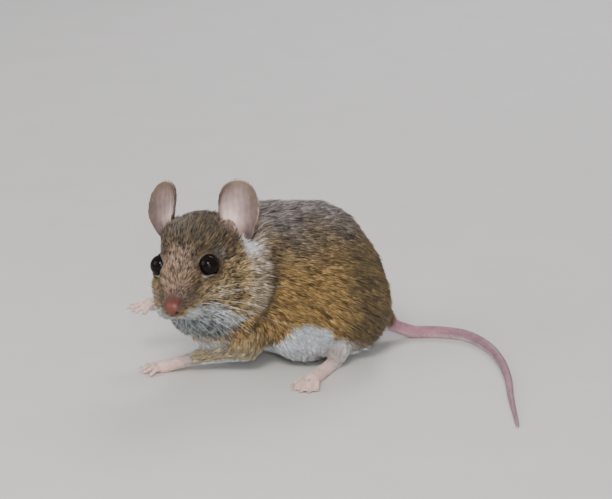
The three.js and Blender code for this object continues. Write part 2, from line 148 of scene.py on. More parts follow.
# ---- limbs: joints from the shoulder or knee to the last pad, then digits with their claws
limbs = {
    "foreLeft": {"side": 1, "arm": [(15.5, 8.5, 12), (18, 8.6, 6.4), (29.8, 3.6, 2.6)],
                 "palm": (36, 2.1, 1.05), "heading": -14, "lift": 0.0},
    "foreRight": {"side": -1, "arm": [(17, -7, 13), (21, -9, 8.5), (31.5, -7.2, 12)],
                  "palm": (36, -6.4, 13.6), "heading": 6, "lift": 12.2},
    "hindLeft": {"side": 1, "heel": (-2.2, 13.2, 1.2), "splay": 44},
    "hindRight": {"side": -1, "heel": (-2.2, -13.2, 1.2), "splay": 28},
}
foot = {"length": 19.5, "soleShare": 0.62, "ballHeight": 1.2, "toe": 0.5, "finger": 0.44, "knuckleRise": 0.55}
limbPaths = {}
digits = []


def onward(at, angle, size, height):
    return np.array([at[0] + math.cos(angle) * size, at[1] + math.sin(angle) * size, height])


def addDigits(limb, at, heading, spread, lengths, radius, width, lift=0.0):
    middle = (len(lengths) - 1) / 2
    for i, length in enumerate(lengths):
        share = (middle - i) / middle
        root = onward(at, math.radians(heading + 90), share * width, at[2])
        tip = onward(root, math.radians(heading + share * spread), length, radius + 0.02 + lift)
        knuckle = (root + tip) / 2 + np.array([0, 0, foot["knuckleRise"]])
        addBar(limb, root, knuckle, (radius * 1.1, radius * 0.92), blend=0.5, coat=0.0)
        addBar(limb, knuckle, tip, (radius * 0.92, radius), blend=0.35, coat=0.0)
        digits.append({"knuckle": knuckle, "tip": tip, "radius": radius})


for name, limb in limbs.items():
    side = limb["side"]
    if "palm" in limb:
        shoulder, elbow, wrist = limb["arm"]
        addBar(name, shoulder, elbow, (4.2, 3.3), blend=2.5, coat=1.0)
        addBar(name, elbow, wrist, (3.3, 1.55), blend=2, coat=0.55)
        addBar(name, wrist, limb["palm"], (1.35, 1.5), blend=1, coat=0.02)
        fingers = (3.2, 4.1, 4.1, 3.1)
        addDigits(name, limb["palm"], limb["heading"], 34, fingers, foot["finger"], 1.3, limb["lift"])
        limbPaths[name] = np.array([shoulder, elbow, wrist, limb["palm"]], float)
    else:
        heel, turn = np.array(limb["heel"]), math.radians(limb["splay"] * side)
        ball = onward(heel, turn, foot["length"] * foot["soleShare"], foot["ballHeight"])
        knee = heel + np.array([6, -side * 2.5, 7.8])
        shank = heel + np.array([-1.2, -side * 0.6, 3.8])
        addBar(name, knee, shank, (4, 2.6), blend=2.5, coat=1.0)
        addBar(name, shank, heel, (2.6, 1.7), blend=1.5, coat=0.4)
        addBar(name, heel, ball, (1.35, 1.65), blend=1, coat=0.02)
        addDigits(name, ball, limb["splay"] * side, 24, (3.6, 5, 5.4, 5, 3.2), foot["toe"], 1.45)
        limbPaths[name] = np.array([knee, shank, heel, ball], float)

# ---- tail: a hook on the floor
tail = {
    "path": [(-19, 0.2, 5.4), (-22.6, 0.6, 3.2), (-27.8, 1.4, 1.2), (-33.3, 3.4, 0), (-37.8, 7.2, 0),
             (-39.7, 14, 0), (-39.1, 23.4, 0), (-36.2, 34.4, 0), (-31.8, 45.6, 0), (-26.4, 60.5, 0)],
    "rootRadius": 1.55,
    "tipRadius": 0.42,
    "nearSquared": 30,
    "stride": 4,
    "melt": 1.5,
}


def crossed(t, t0, t1, p0, p1):
    return (t1 - t) / (t1 - t0) * p0 + (t - t0) / (t1 - t0) * p1


def smoothPath(points, steps):
    points = np.array(points, float)
    knots = np.concatenate([[0], np.cumsum(np.linalg.norm(np.diff(points, axis=0), axis=1) ** 0.5)])
    before = 2 * points[0] - points[1]
    after = 2 * points[-1] - points[-2]
    points = np.vstack([before, points, after])
    knots = np.concatenate([[-knots[1]], knots, [2 * knots[-1] - knots[-2]]])
    made = []
    for i in range(1, len(points) - 2):
        t0, t1, t2, t3 = knots[i - 1:i + 3]
        p0, p1, p2, p3 = points[i - 1:i + 3]
        for t in np.linspace(t1, t2, steps, endpoint=False):
            along = crossed(t, t1, t2, p1, p2)
            early = crossed(t, t0, t2, crossed(t, t0, t1, p0, p1), along)
            late = crossed(t, t1, t3, along, crossed(t, t2, t3, p2, p3))
            made.append(crossed(t, t1, t2, early, late))
    made.append(points[-2])
    return np.array(made)


def evenly(path, count):
    run = np.concatenate([[0], np.cumsum(np.linalg.norm(np.diff(path, axis=0), axis=1))])
    stops = np.linspace(0, run[-1], count)
    return np.stack([np.interp(stops, run, path[:, axis]) for axis in range(3)], 1)


def squaredAway(p, spot):
    return ((p - spot) ** 2).sum(1)


def setReach(one):
    # beyond this distance a mass can't change the surface
    if one["kind"] == "mass":
        one["middle"], size = one["centre"], one["half"].max()
    else:
        one["middle"] = one["ends"].mean(0)
        size = np.linalg.norm(one["ends"][1] - one["ends"][0]) / 2 + max(one["radii"])
    one["reach"] = size + one["blend"] + 3


for one in masses:
    setReach(one)
tailLine = evenly(smoothPath(tail["path"], 20), 240)
tailShare = np.linspace(0, 1, len(tailLine))
tailRadii = tail["rootRadius"] + (tail["tipRadius"] - tail["rootRadius"]) * tailShare ** 1.25
tailLine[:, 2] = np.maximum(tailLine[:, 2], tailRadii * 0.93)


def nearTo(p, one):
    return np.where(squaredAway(p, one["middle"]) < one["reach"] ** 2)[0]


def distancesTo(p, one):
    if one["kind"] == "mass":
        local = (p - one["centre"]) @ one["turn"]
        scaled = np.linalg.norm(local / one["half"], axis=1)
        steep = np.linalg.norm(local / one["half"] ** 2, axis=1)
        return scaled * (scaled - 1) / np.maximum(steep, 1e-9)
    start, along = one["ends"][0], one["ends"][1] - one["ends"][0]
    share = np.clip((p - start) @ along / (along @ along), 0, 1)
    offset = p - start - share[:, None] * along
    return np.linalg.norm(offset, axis=1) - (one["radii"][0] + (one["radii"][1] - one["radii"][0]) * share)


def tailDistance(p):
    best = np.full(len(p), 1e3)
    place = np.zeros(len(p))
    for i in range(0, len(tailLine) - 1, tail["stride"]):
        j = min(i + tail["stride"], len(tailLine) - 1)
        start, along = tailLine[i], tailLine[j] - tailLine[i]
        near = np.where(squaredAway(p, start) < tail["nearSquared"])[0]
        if len(near) == 0:
            continue
        share = np.clip((p[near] - start) @ along / (along @ along), 0, 1)
        radius = tailRadii[i] + (tailRadii[j] - tailRadii[i]) * share
        d = np.linalg.norm(p[near] - start - share[:, None] * along, axis=1) - radius
        closer = d < best[near]
        best[near[closer]] = d[closer]
        place[near[closer]] = tailShare[i] + share[closer] * (tailShare[j] - tailShare[i])
    return best, place


# ---- ears: a thin oval leaf curled into a cup
earShape = {
    "root": (-11.4, 8.6, -3.8),
    "turn": 21,
    "lean": 24,
    "tilt": 3,
    "height": 15.9,
    "width": 10.3,
    "topWidening": 0.22,
    "footNarrowing": 0.25,
    "thickness": 0.5,
    "meshThickness": 0.85,
    "footCurl": 3.6,
    "topCurl": 8,
    "topLean": 1.6,
    "foldFrom": 2.8,
    "foldTurn": 0.13,
}


def earMatrix(side):
    aboutX = turned(roll=-earShape["tilt"] * side)
    aboutY = turned(pitch=-earShape["lean"])
    aboutZ = turned(yaw=earShape["turn"] * side)
    return aboutX @ aboutY @ aboutZ, np.array(earShape["root"]) * [1, side, 1]


def earBreadth(height):
    return 1 + earShape["topWidening"] * height - earShape["footNarrowing"] * np.maximum(0, -height) ** 1.5


def earCurl(height):
    return earShape["footCurl"] + (earShape["topCurl"] - earShape["footCurl"]) * ramp(-1, 0.6, height)


# creases: shallow grooves along a path, as behind the cheek
creases = [
    {"path": [(13.7, 10.0, 28.3), (13.0, 10.7, 26.5), (12.9, 11.3, 23.6), (13.5, 11.4, 20.4),
              (14.5, 11.3, 17.1), (16.4, 11.3, 14.7), (17.8, 11.5, 12.8), (18.6, 11.3, 10.4)],
     "radius": 1.3, "depth": 1.7},
    {"path": [(11.6, 11.0, 27.5), (10.9, 12.4, 23.0), (11.6, 12.6, 19.0)], "radius": 2.8, "depth": 0.8},
    {"path": [(20.6, 8.6, 7.0), (23.5, 6.6, 6.2), (26.5, 3.5, 6.4)], "radius": 1.2, "depth": 0.7},
]

# the hollow in front of each ear's foot, in the ear's own place
hollow = {"at": (2.4, -1.3, 4.0), "radius": 2.5, "depth": 2.8, "nearSquared": 40}
creaseNearSquared = 200


def toPath(p, path):
    path, best = np.array(path, float), np.full(len(p), 1e3)
    for start, end in zip(path[:-1], path[1:]):
        along = end - start
        share = np.clip((p - start) @ along / (along @ along), 0, 1)
        best = np.minimum(best, np.linalg.norm(p - start - share[:, None] * along, axis=1))
    return best


def melted(near, far, blend):
    mix = np.maximum(blend - np.abs(near - far), 0) / blend
    return np.minimum(near, far) - mix * mix * blend / 4


def flesh(p):
    whole = np.full(len(p), 40.0)
    for one in masses:
        near = nearTo(p, one)
        if len(near):
            d = distancesTo(p[near], one) + one["coat"]
            whole[near] = melted(whole[near], d, one["blend"])
    for shadedCrease in creases:
        near = np.where(squaredAway(p, np.mean(shadedCrease["path"], axis=0)) < creaseNearSquared)[0]
        whole[near] += shadedCrease["depth"] * np.exp(-(toPath(p[near], shadedCrease["path"]) / shadedCrease["radius"]) ** 2)
    for side in (1, -1):
        turn, root = earMatrix(side)
        centre = fromHead(turn @ (np.array(hollow["at"]) * [1, -side, 1]) + root)
        away = squaredAway(p, centre)
        near = np.where(away < hollow["nearSquared"])[0]
        whole[near] += hollow["depth"] * np.exp(-away[near] / hollow["radius"] ** 2)
    d, _ = tailDistance(p)
    return melted(whole, d, tail["melt"])


# how much of each named part a point belongs to, and the coat's depth there
def belongs(p):
    weights, depth, total = {}, np.zeros(len(p)), np.zeros(len(p))
    for one in masses:
        near = nearTo(p, one)
        w = np.exp(-np.maximum(distancesTo(p[near], one) + one["coat"], 0) / 0.9)
        weights.setdefault(one["part"], np.zeros(len(p)))[near] += w
        depth[near] += w * one["coat"]
        total[near] += w
    d, place = tailDistance(p)
    w = np.exp(-np.maximum(d, 0) / 0.3) * (d < 1)
    weights["tail"] = w * 3
    total += w * 3
    total = np.maximum(total, 1e-9)
    return {name: w / total for name, w in weights.items()}, depth / total, place


# face is 1 on the inside of the cup, -1 on its back and 0 halfway through the leaf
def earPoints(side, leaf, angle, face):
    height = leaf * np.sin(angle)
    across = leaf * np.cos(angle) * earShape["width"] / 2 * earBreadth(height)
    upward = height * earShape["height"] / 2 + earShape["height"] / 2
    curl = earCurl(height)
    half = face * earShape["meshThickness"] / 2 * np.sqrt(np.clip(1 - leaf ** 24, 0, 1))
    bend = across / curl
    radius = curl - half
    lean = earShape["topLean"] * ramp(-0.2, 1, height)
    local = np.stack([curl - radius * np.cos(bend), radius * np.sin(bend), upward], -1)
    # the edge nearest the crown folds further forward, so that its furred back shows beside the cup
    past = np.maximum(-across * side - earShape["foldFrom"], 0)
    fold = earShape["foldTurn"] * past * ramp(-1, -0.7, height) * ramp(0.9, -0.3, height)
    hinge = earShape["foldFrom"] / curl
    spot = np.stack([curl - curl * np.cos(hinge), -side * curl * np.sin(hinge)], -1)
    ahead, aside = local[..., 0] - spot[..., 0], (local[..., 1] - spot[..., 1]) * -side
    local[..., 0] = spot[..., 0] + ahead * np.cos(fold) + aside * np.sin(fold) - lean
    local[..., 1] = spot[..., 1] - side * (aside * np.cos(fold) - ahead * np.sin(fold))
    turn, root = earMatrix(side)
    return fromHead(local @ turn.T + root)


# the faces between rings of points, each ring given by its first point
def ringFaces(starts, sides):
    faces = []
    for a, b in zip(starts[:-1], starts[1:]):
        for k in range(sides):
            following = (k + 1) % sides
            faces.append([a + k, b + k, b + following, a + following])
    return faces


def earMiddle(side, face):
    return earPoints(side, np.zeros(1), np.zeros(1), face)[0]


def earMesh(side, sides=72, rings=26, layers=(1, -1)):
    points, faces = [], []
    for face in layers:
        base = len(points)
        points.append(earMiddle(side, face))
        for ring in range(1, rings + 1):
            leaf = np.full(sides, math.sin(ring / rings * math.pi / 2))
            points.extend(earPoints(side, leaf, np.arange(sides) / sides * 2 * math.pi, face))
        starts = [base + 1 + ring * sides for ring in range(rings)]
        faces.extend([base, starts[0] + k, starts[0] + (k + 1) % sides] for k in range(sides))
        faces.extend(ringFaces(starts, sides))
    return points, faces


# ---- mesh helpers
def meshFrom(name, points, faces):
    mesh = bpy.data.meshes.new(name)
    mesh.from_pydata([tuple(p) for p in points], [], [tuple(f) for f in faces])
    return mesh


def fastMesh(name, points, faces, loopUvs):
    mesh = bpy.data.meshes.new(name)
    faces = np.asarray(faces, np.int32)
    mesh.vertices.add(len(points))
    mesh.vertices.foreach_set("co", np.asarray(points, np.float32).ravel())
    mesh.loops.add(faces.size)
    mesh.loops.foreach_set("vertex_index", faces.ravel())
    mesh.polygons.add(len(faces))
    mesh.polygons.foreach_set("loop_start", np.arange(0, faces.size, faces.shape[1], dtype=np.int32))
    mesh.polygons.foreach_set("loop_total", np.full(len(faces), faces.shape[1], np.int32))
    layer = mesh.uv_layers.new(name="OFBake")
    layer.data.foreach_set("uv", np.asarray(loopUvs, np.float32).ravel())
    mesh.update(calc_edges=True)
    mesh.validate()
    return mesh


def addObject(name, data):
    made = bpy.data.objects.new(name, data)
    bpy.context.scene.collection.objects.link(made)
    return made


def places(mesh):
    co = np.empty(len(mesh.vertices) * 3, np.float32)
    mesh.vertices.foreach_get("co", co)
    return co.reshape(-1, 3).astype(float)


def setPlaces(mesh, points):
    mesh.vertices.foreach_set("co", np.asarray(points, np.float32).ravel())
    mesh.update()


def smoothed(mesh):
    mesh.polygons.foreach_set("use_smooth", np.ones(len(mesh.polygons), bool))


def addTone(mesh, colours):
    tone = mesh.attributes.new("tone", "FLOAT_COLOR", "POINT")
    tone.data.foreach_set("color", colours.ravel())


def treeOf(spots):
    tree = kdtree.KDTree(len(spots))
    for k, spot in enumerate(spots):
        tree.insert(spot, k)
    tree.balance()
    return tree


# a closed tube round a line, from the two ways across it at every ring
def ringed(centres, sideways, lifts, radii, sides):
    points = []
    for centre, across, lift, radius in zip(centres, sideways, lifts, radii):
        for k in range(sides):
            angle = k / sides * 2 * math.pi
            points.append(centre + (across * math.cos(angle) + lift * math.sin(angle)) * radius)
    faces = ringFaces([ring * sides for ring in range(len(centres))], sides)
    faces.append(list(range(sides)))
    faces.append([len(points) - sides + k for k in range(sides)][::-1])
    return points, faces


# ---- skin: the flesh nodes, ears and tail made one surface, then drawn onto the smooth flesh
skinShape = {
    "voxel": 0.37,
    "inflate": 0.28,
    "earBlend": 1.2,
    "fleshNodes": ("trunk", "neck", "head", "foreleg_left", "foreleg_right", "hindleg_left", "hindleg_right"),
    "otherNodes": ("ear_left", "ear_right", "tail_base", "tail_middle", "tail_tip"),
}


def nodeCopy(node):
    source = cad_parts[node]
    grown = bmesh.new()
    grown.from_mesh(source.data)
    bmesh.ops.remove_doubles(grown, verts=grown.verts, dist=1e-6)
    grown.normal_update()
    points = np.array([v.co for v in grown.verts]) / mm
    normals = np.array([v.normal for v in grown.verts])
    points = (points + normals * skinShape["inflate"] - shift) @ bodyTurned
    faces = [[v.index for v in f.verts] for f in grown.faces]
    grown.free()
    return points, faces


def tailMesh(sides=14):
    ways = unit(np.gradient(tailLine, axis=0))
    across = unit(np.cross([0, 0, 1.0], ways))
    return ringed(tailLine, across, np.cross(ways, across), tailRadii, sides)


def joined(parts):
    points, faces = [], []
    for partPoints, partFaces in parts:
        start = len(points)
        points.extend(partPoints)
        faces.extend([[i + start for i in face] for face in partFaces])
    return points, faces


def skinStart():
    parts = [nodeCopy(node) for node in skinShape["fleshNodes"]]
    parts += [earMesh(1), earMesh(-1), tailMesh()]
    mesh = meshFrom("skinStart", *joined(parts))
    body = bmesh.new()
    body.from_mesh(mesh)
    bmesh.ops.remove_doubles(body, verts=body.verts, dist=1e-5)
    bmesh.ops.recalc_face_normals(body, faces=body.faces)
    body.to_mesh(mesh)
    body.free()
    made = addObject("skin", mesh)
    remesh = made.modifiers.new("oneSurface", "REMESH")
    remesh.mode = "VOXEL"
    remesh.voxel_size = skinShape["voxel"]
    whole = bpy.data.meshes.new_from_object(made.evaluated_get(bpy.context.evaluated_depsgraph_get()))
    made.modifiers.clear()
    made.data = whole
    return made


skin = skinStart()
print("skin: one surface of", len(skin.data.vertices), "points")


# the surface is pulled onto the smooth flesh, with the ears and the tail melted in at their roots
earTrees = []
for side in (1, -1):
    earPart, earFaces = earMesh(side, 64, 22, layers=(0,))
    earTrees.append(BVHTree.FromPolygons([tuple(v) for v in earPart], earFaces))


def slopeOf(p, value, step=0.05):
    return np.stack([(flesh(p + aside) - value) / step for aside in np.eye(3) * step], 1)


def earDistance(p, tree):
    d, away = np.full(len(p), 50.0), np.zeros_like(p)
    head = toHead(p)
    near = np.where((head[:, 0] < 0) & (head[:, 2] > -8))[0]
    for i in near:
        spot, normal, _, gap = tree.find_nearest(Vector(p[i]), 4)
        if spot is None:
            continue
        d[i] = gap - earShape["thickness"] / 2
        away[i] = (Vector(p[i]) - spot) / gap if gap > 1e-4 else normal
    return d, away


def settle(p, rounds=3):
    for _ in range(rounds):
        value = flesh(p)
        slope = slopeOf(p, value)
        for tree in earTrees:
            d, away = earDistance(p, tree)
            blend = skinShape["earBlend"]
            share = np.clip(0.5 + 0.5 * (d - value) / blend, 0, 1)
            value = d + (value - d) * share - blend * share * (1 - share)
            slope = away + (slope - away) * share[:, None]
        push = -value[:, None] * slope / np.maximum((slope ** 2).sum(1, keepdims=True), 0.05)
        size = np.linalg.norm(push, axis=1, keepdims=True)
        p = p + push * np.minimum(1, 0.9 / np.maximum(size, 1e-9))
    return p


def evened(mesh, p, share, rounds):
    ends = np.empty(len(mesh.edges) * 2, np.int32)
    mesh.edges.foreach_get("vertices", ends)
    a, b = ends.reshape(-1, 2).T
    count = np.bincount(a, minlength=len(p)) + np.bincount(b, minlength=len(p))
    for _ in range(rounds):
        sums = [np.bincount(a, p[b, k], len(p)) + np.bincount(b, p[a, k], len(p)) for k in range(3)]
        p = p + (np.stack(sums, 1) / count[:, None] - p) * share
    return p


# finer faces where the face has detail
def finer(mesh, centre, radius):
    body = bmesh.new()
    body.from_mesh(mesh)
    spot = Vector(centre)
    edges = [e for e in body.edges if ((e.verts[0].co + e.verts[1].co) / 2 - spot).length < radius]
    bmesh.ops.subdivide_edges(body, edges=edges, cuts=1, use_grid_fill=True)
    bmesh.ops.triangulate(body, faces=[f for f in body.faces if len(f.verts) > 4])
    body.to_mesh(mesh)
    body.free()


eyeCentres = [fromHead([0, side * eyeSide, 0]) for side in (1, -1)]
noseTip = fromHead([reach, 0, -4.3])
points = places(skin.data)
points = evened(skin.data, points, 0.5, 2)
points = settle(points, 3)
setPlaces(skin.data, points)
for centre in eyeCentres:
    finer(skin.data, centre, 4.2)
finer(skin.data, noseTip, 3.6)
points = evened(skin.data, places(skin.data), 0.5, 2)
points = settle(points, 1)
# the ears' rims are evened along the leaf, and creases that the flesh can't reach are eased
for _ in range(3):
    gaps = np.minimum(*[earDistance(points, tree)[0] for tree in earTrees])
    soft = np.where(gaps < 1.2)[0]
    points[soft] = evened(skin.data, points, 0.6, 3)[soft]
    points[soft] = settle(points[soft], 2)
stray = ramp(0.06, 0.25, np.abs(flesh(points))) * ramp(0.4, 1.0, gaps)
for _ in range(12):
    points = points + (evened(skin.data, points, 0.7, 1) - points) * stray[:, None]
    stray = np.maximum(stray, evened(skin.data, np.stack([stray] * 3, 1), 0.5, 1)[:, 0])
setPlaces(skin.data, points)
print("skin: drawn onto the flesh,", len(points), "points")

# lids: a thin rim round an oval opening. The skin is tucked under it and dips a little in front of it
lids = {
    "axis": (0.55, 0.66, 0.51),
    "front": 76,
    "back": 70,
    "upper": 69,
    "lower": 46,
    "slant": 26,
    "squareness": 2.3,
    "rim": 0.2,
    "edgeFrom": 0.72,
    "tuck": 0.6,
    "reach": 1.7,
    "within": 4.8,
}


def lidFrame(side):
    axis = unit(np.array(lids["axis"]) * [1, side, 1])
    level = np.array([1.0, 0, -0.35])
    forward = unit(level - axis * (level @ axis))
    upward = np.cross(axis, forward) * side
    upward = upward if upward[2] > 0 else -upward
    cosine, sine = math.cos(math.radians(lids["slant"])), math.sin(math.radians(lids["slant"]))
    return axis, forward * cosine + upward * sine, upward * cosine - forward * sine


def shapeLids(p, side, centre):
    axis, forward, upward = lidFrame(side)
    local = toHead(p) - toHead(centre[None])
    d = np.linalg.norm(local, axis=1)
    out = unit(local)
    x, y, z = out @ forward, out @ upward, out @ axis
    angle = np.degrees(np.arccos(np.clip(z, -1, 1)))
    flat = np.maximum(np.hypot(x, y), 1e-6)
    cosine, sine = x / flat, y / flat
    wide = np.where(cosine > 0, lids["front"], lids["back"])
    high = np.where(sine > 0, lids["upper"], lids["lower"])
    power = lids["squareness"]
    limit = (np.abs(cosine / wide) ** power + np.abs(sine / high) ** power) ** (-1 / power)
    inside = np.where(d < lids["within"], angle / limit, 9)
    radius = pose["eyeRadius"]
    rimRadius = radius + lids["rim"]
    # points just inside the edge are drawn out to it, so that the opening has one clean line
    edge = ramp(1.0, lids["edgeFrom"], inside)
    drawn = np.where(inside > lids["edgeFrom"], limit, angle / lids["edgeFrom"])
    bent = np.radians(np.where(inside < 1, drawn, angle))
    tucked = rimRadius + (radius - lids["tuck"] - rimRadius) * edge
    dipped = np.maximum(d, rimRadius - 0.3 * ramp(1.1, 1.6, inside))
    hugging = d + (rimRadius - d) * ramp(lids["reach"], 1.0, inside)
    target = np.where(inside < 1, tucked, np.where(d < rimRadius, dipped, hugging))
    outward = forward * cosine[:, None] + upward * sine[:, None]
    way = outward * np.sin(bent)[:, None] + axis * np.cos(bent)[:, None]
    near = inside < lids["reach"] + 0.3
    result = p.copy()
    result[near] = (centre + (way * target[:, None]) @ headTurned.T)[near]
    return result, inside


openings = []
for side, centre in zip((1, -1), eyeCentres):
    points, inside = shapeLids(points, side, centre)
    openings.append(inside)
lidShare = np.minimum(*openings)
setPlaces(skin.data, points)
print("skin: lids shaped")

# nose: two comma nostrils, the groove under them and the slit of the mouth
nose = {
    "nostrilAt": (11.6, 1.2, -4.5),
    "nostrilSize": (0.9, 0.42, 0.5),
    "nostrilDepth": 0.6,
    "grooveDepth": 0.28,
    "grooveWidth": 0.28,
}


def carveNose(p, normals):
    head = toHead(p)
    deep = np.zeros(len(p))
    for side in (1, -1):
        spot = np.array(nose["nostrilAt"]) * [1, side, 1]
        offset = (head - spot) @ turned(side * 35, 0, side * 30)
        size = np.linalg.norm(offset / nose["nostrilSize"], axis=1)
        deep += nose["nostrilDepth"] * np.exp(-size ** 2)
    under = np.exp(-(head[:, 1] / nose["grooveWidth"]) ** 2) * ramp(10.2, 11.2, head[:, 0])
    deep += nose["grooveDepth"] * under * ramp(-4.0, -4.6, head[:, 2]) * ramp(-8.5, -7.5, head[:, 2])
    return p - normals * deep[:, None], deep


def normalsOf(mesh):
    values = np.empty(len(mesh.vertices) * 3, np.float32)
    mesh.vertex_normals.foreach_get("vector", values)
    return values.reshape(-1, 3).astype(float)


points, noseDeep = carveNose(points, normalsOf(skin.data))
setPlaces(skin.data, points)

# ---- markings: one set of colours for the skin and for the coat that grows on it, with some painted sheen, light and shade among them
def paint(code):
    values = [int(code[i:i + 2], 16) / 255 for i in (1, 3, 5)]
    return np.array([v / 12.92 if v <= 0.04045 else ((v + 0.055) / 1.055) ** 2.4 for v in values])


fur = {
    "back": ("#a7957f", "#2a231b"),
    # painted sheen: lighter, greyer fur along the top of the back
    "topSheen": ("#c8bcba", "#3b3431"),
    "flank": ("#deb56f", "#553f20"),
    # painted shade: darker fur towards the rump and haunch
    "rumpShade": ("#968058", "#2c2418"),
    "crown": ("#766349", "#100a06"),
    "face": ("#977952", "#181009"),
    "bridge": ("#c6a68b", "#34261c"),
    "cheek": ("#dabd8a", "#3f301c"),
    "pad": ("#77624e", "#2a2018"),
    "ruff": ("#f2e4ce", "#8d7557"),
    # painted shade in the crease behind the cheek
    "shadedCrease": ("#5e4d30", "#1c150b"),
    "eyeRing": ("#8f887f", "#4d4640"),
    # the throat's own pale grey, darkened as painted shade under the head
    "throat": ("#bcc2c3", "#50575a"),
    "belly": ("#f6f8fb", "#c6cdd8"),
    "snow": ("#ffffff", "#f0f0f6"),
    "arm": ("#ddcdaa", "#85775a"),
    "foot": ("#eee3de", "#cdb8b0"),
    "earBack": ("#84756d", "#3b312d"),
    "earInner": ("#cdb9b3", "#8f7d78"),
    "lip": ("#f2f4f5", "#9ea4a7"),
    "ruffTop": ("#f1e4d8", "#a38c7c"),
    "earTuft": ("#e6c9b2", "#8f6f5c"),
    "tailTop": ("#8b7a74", "#54484a"),
}
bareSkin = {
    "ear": "#947a78",
    # painted light and shade on the ear's leaf: a pool of light low in the cup, painted shade on its outer
    # side, in its hollow and in the fold, and a pale rim of fine hairs with a painted highlight
    "earLitPatch": "#ffe4d8",
    "earSideShade": "#5c4c45",
    "earTop": "#6a5747",
    "earCupShade": "#473f3f",
    "earPink": "#c98f7d",
    "earFoldShade": "#43362b",
    "earRimHairsAndHighlight": "#e6d0ae",
    "foot": "#dcb5ab",
    "tail": "#98747e",
    "tailLow": "#c9b3b5",
    "tailRoot": "#bd8391",
    "nose": "#653829",
    "noseTop": "#4e3a35",
    # painted shade on the sides of the nose pad
    "noseSideShade": "#3e2f29",
    # painted shade inside the nostrils
    "nostrilShade": "#2a1512",
    "lid": "#171210",
    "lidPale": "#a39a93",
    "root": "#4c4a4b",
}


def mixed(values, code, share):
    return values + (paint(code) - values) * share[:, None]


def bump3(p, centre, size):
    return np.exp(-(((p - np.array(centre)) / np.array(size)) ** 2).sum(1))


def mottle(p, size, seed=0):
    q = p / size + seed * 7.3
    waves = (([1.3, 2.1, 0.7], 0), ([-1.9, 0.8, 1.7], 1.3), ([0.6, -1.4, 2.3], 4.1))
    return sum(np.sin(q @ way + start) for way, start in waves) / 3


# where a point lies on an ear: its share of the ear, whether it is inside the cup, and its place on the leaf
def earPlaces(p):
    share, inner = np.zeros(len(p)), np.zeros(len(p))
    across, height = np.zeros(len(p)), np.zeros(len(p))
    for side, tree in zip((1, -1), earTrees):
        turn, root = earMatrix(side)
        local = (toHead(p) - root) @ turn
        _, facing, _, _ = tree.find_nearest(Vector(earMiddle(side, 0)))
        sign = np.sign((np.array(facing) @ headTurned @ turn)[0])
        for i in np.where((np.abs(local) < 20).all(1))[0]:
            spot, normal, _, gap = tree.find_nearest(Vector(p[i]), 1.3)
            if spot is None:
                continue
            here = 1 - min(max((gap - 0.35) / 0.5, 0), 1)
            if here > share[i]:
                share[i] = here
                inner[i] = ((Vector(p[i]) - spot).dot(normal) * sign > 0) * 1.0
                across[i] = -local[i, 1] * side
                height[i] = local[i, 2]
    return share, inner, across, height


# where the edges between the colours run: places along each edge, and the edge's own place there
edges = {
    "ruff": ([10, 13, 14.7, 17, 20, 24, 28], [18.6, 17.8, 16.4, 14.5, 13.5, 12.9, 13.7]),
    "mouth": ([-2, 0.5, 3.3, 6, 8, 10, 12], [-15, -12, -8.6, -6.3, -5.0, -4.8, -5.6]),
    "throatFoot": ([20, 24.3, 30, 34], [15, 12.3, 10.4, 9.5]),
    "belly": ([-20, -6, -1.8, 0.5, 6.5, 9, 12, 20.7, 27], [3.4, 3.2, 6, 10.4, 12.2, 11.0, 7.6, 7.6, 8.2]),
}
patchShape = {"at": (-10.2, 10.3, -3.2), "half": (1.7, 2.4, 1.8), "lean": 0.3, "leanFrom": -3}


def edgeAt(name, place):
    return np.interp(place, *edges[name])


def tinted(values, *layers):
    for kind, share in layers:
        values = mixed(values, bareSkin[kind], share)
    return values


def headSides(p):
    head = toHead(p)
    return head[:, 0], np.abs(head[:, 1]), head[:, 2], head[:, 1]


# the leaf's colour, with faint veins and hair tracks that run up it. Painted light and shade lie on it too: a
# pool of light low on the inside of the cup, painted shade along the outer side, in the cup's hollow and in
# the fold, a pale rim of fine hairs with a painted highlight, and painted shade over the far ear's inside
def earTones(p, inner, across, height):
    rise = height / earShape["height"] * 2 - 1
    curl = earCurl(rise)
    flat = curl * np.arcsin(np.clip(across / curl, -0.98, 0.98))
    leaf = np.hypot(flat / (earShape["width"] / 2 * earBreadth(rise)), rise)
    place = np.stack([across, height], 1)
    tone = tinted(
        np.tile(paint(bareSkin["ear"]), (len(p), 1)),
        # painted shade along the ear's outer side
        ("earSideShade", ramp(-0.3, -4.0, across) * 0.9),
        ("earTop", ramp(10.5, 15, height) * 0.6),
        # painted light: a bright pool low on the inside of the cup
        ("earLitPatch", bump3(place, (2.7, 6.6), (2.6, 3.4))),
        ("earPink", bump3(place, (0.8, 3.6), (2.4, 1.3)) * 0.7),
        # painted shade in the cup's hollow
        ("earCupShade", bump3(place, (-1.6, 3.0), (1.6, 2.0)) * 0.95),
    )
    track = np.sin(across * 4.6 + mottle(p, 2.1, 9) * 2.2) * ramp(0.9, 0.7, leaf)
    # painted shade: the far ear's inside is darkened
    farEarShade = ramp(0, -2, headSides(p)[3])
    tone *= (1 + 0.09 * track + 0.07 * mottle(p, 0.8, 10) - 0.25 * farEarShade)[:, None]
    backTone = (paint(fur["earBack"][0]) + paint(fur["earBack"][1])) / 2
    tone += (backTone - tone) * (1 - inner)[:, None]
    return tinted(
        tone,
        ("earTop", inner * ramp(0.66, 0.86, leaf) * ramp(4, 8, height) * 0.5),
        # painted shade along the fold
        ("earFoldShade", ramp(0.8, 0.9, leaf) * ramp(0.6, 2.2, across) * ramp(16, 12, height)),
        # pale fine hairs on the rim, with a painted highlight
        ("earRimHairsAndHighlight", ramp(0.93, 0.96, leaf) * ramp(3.2, 0.5, across) * ramp(4, 8, height) * 0.85),
    )


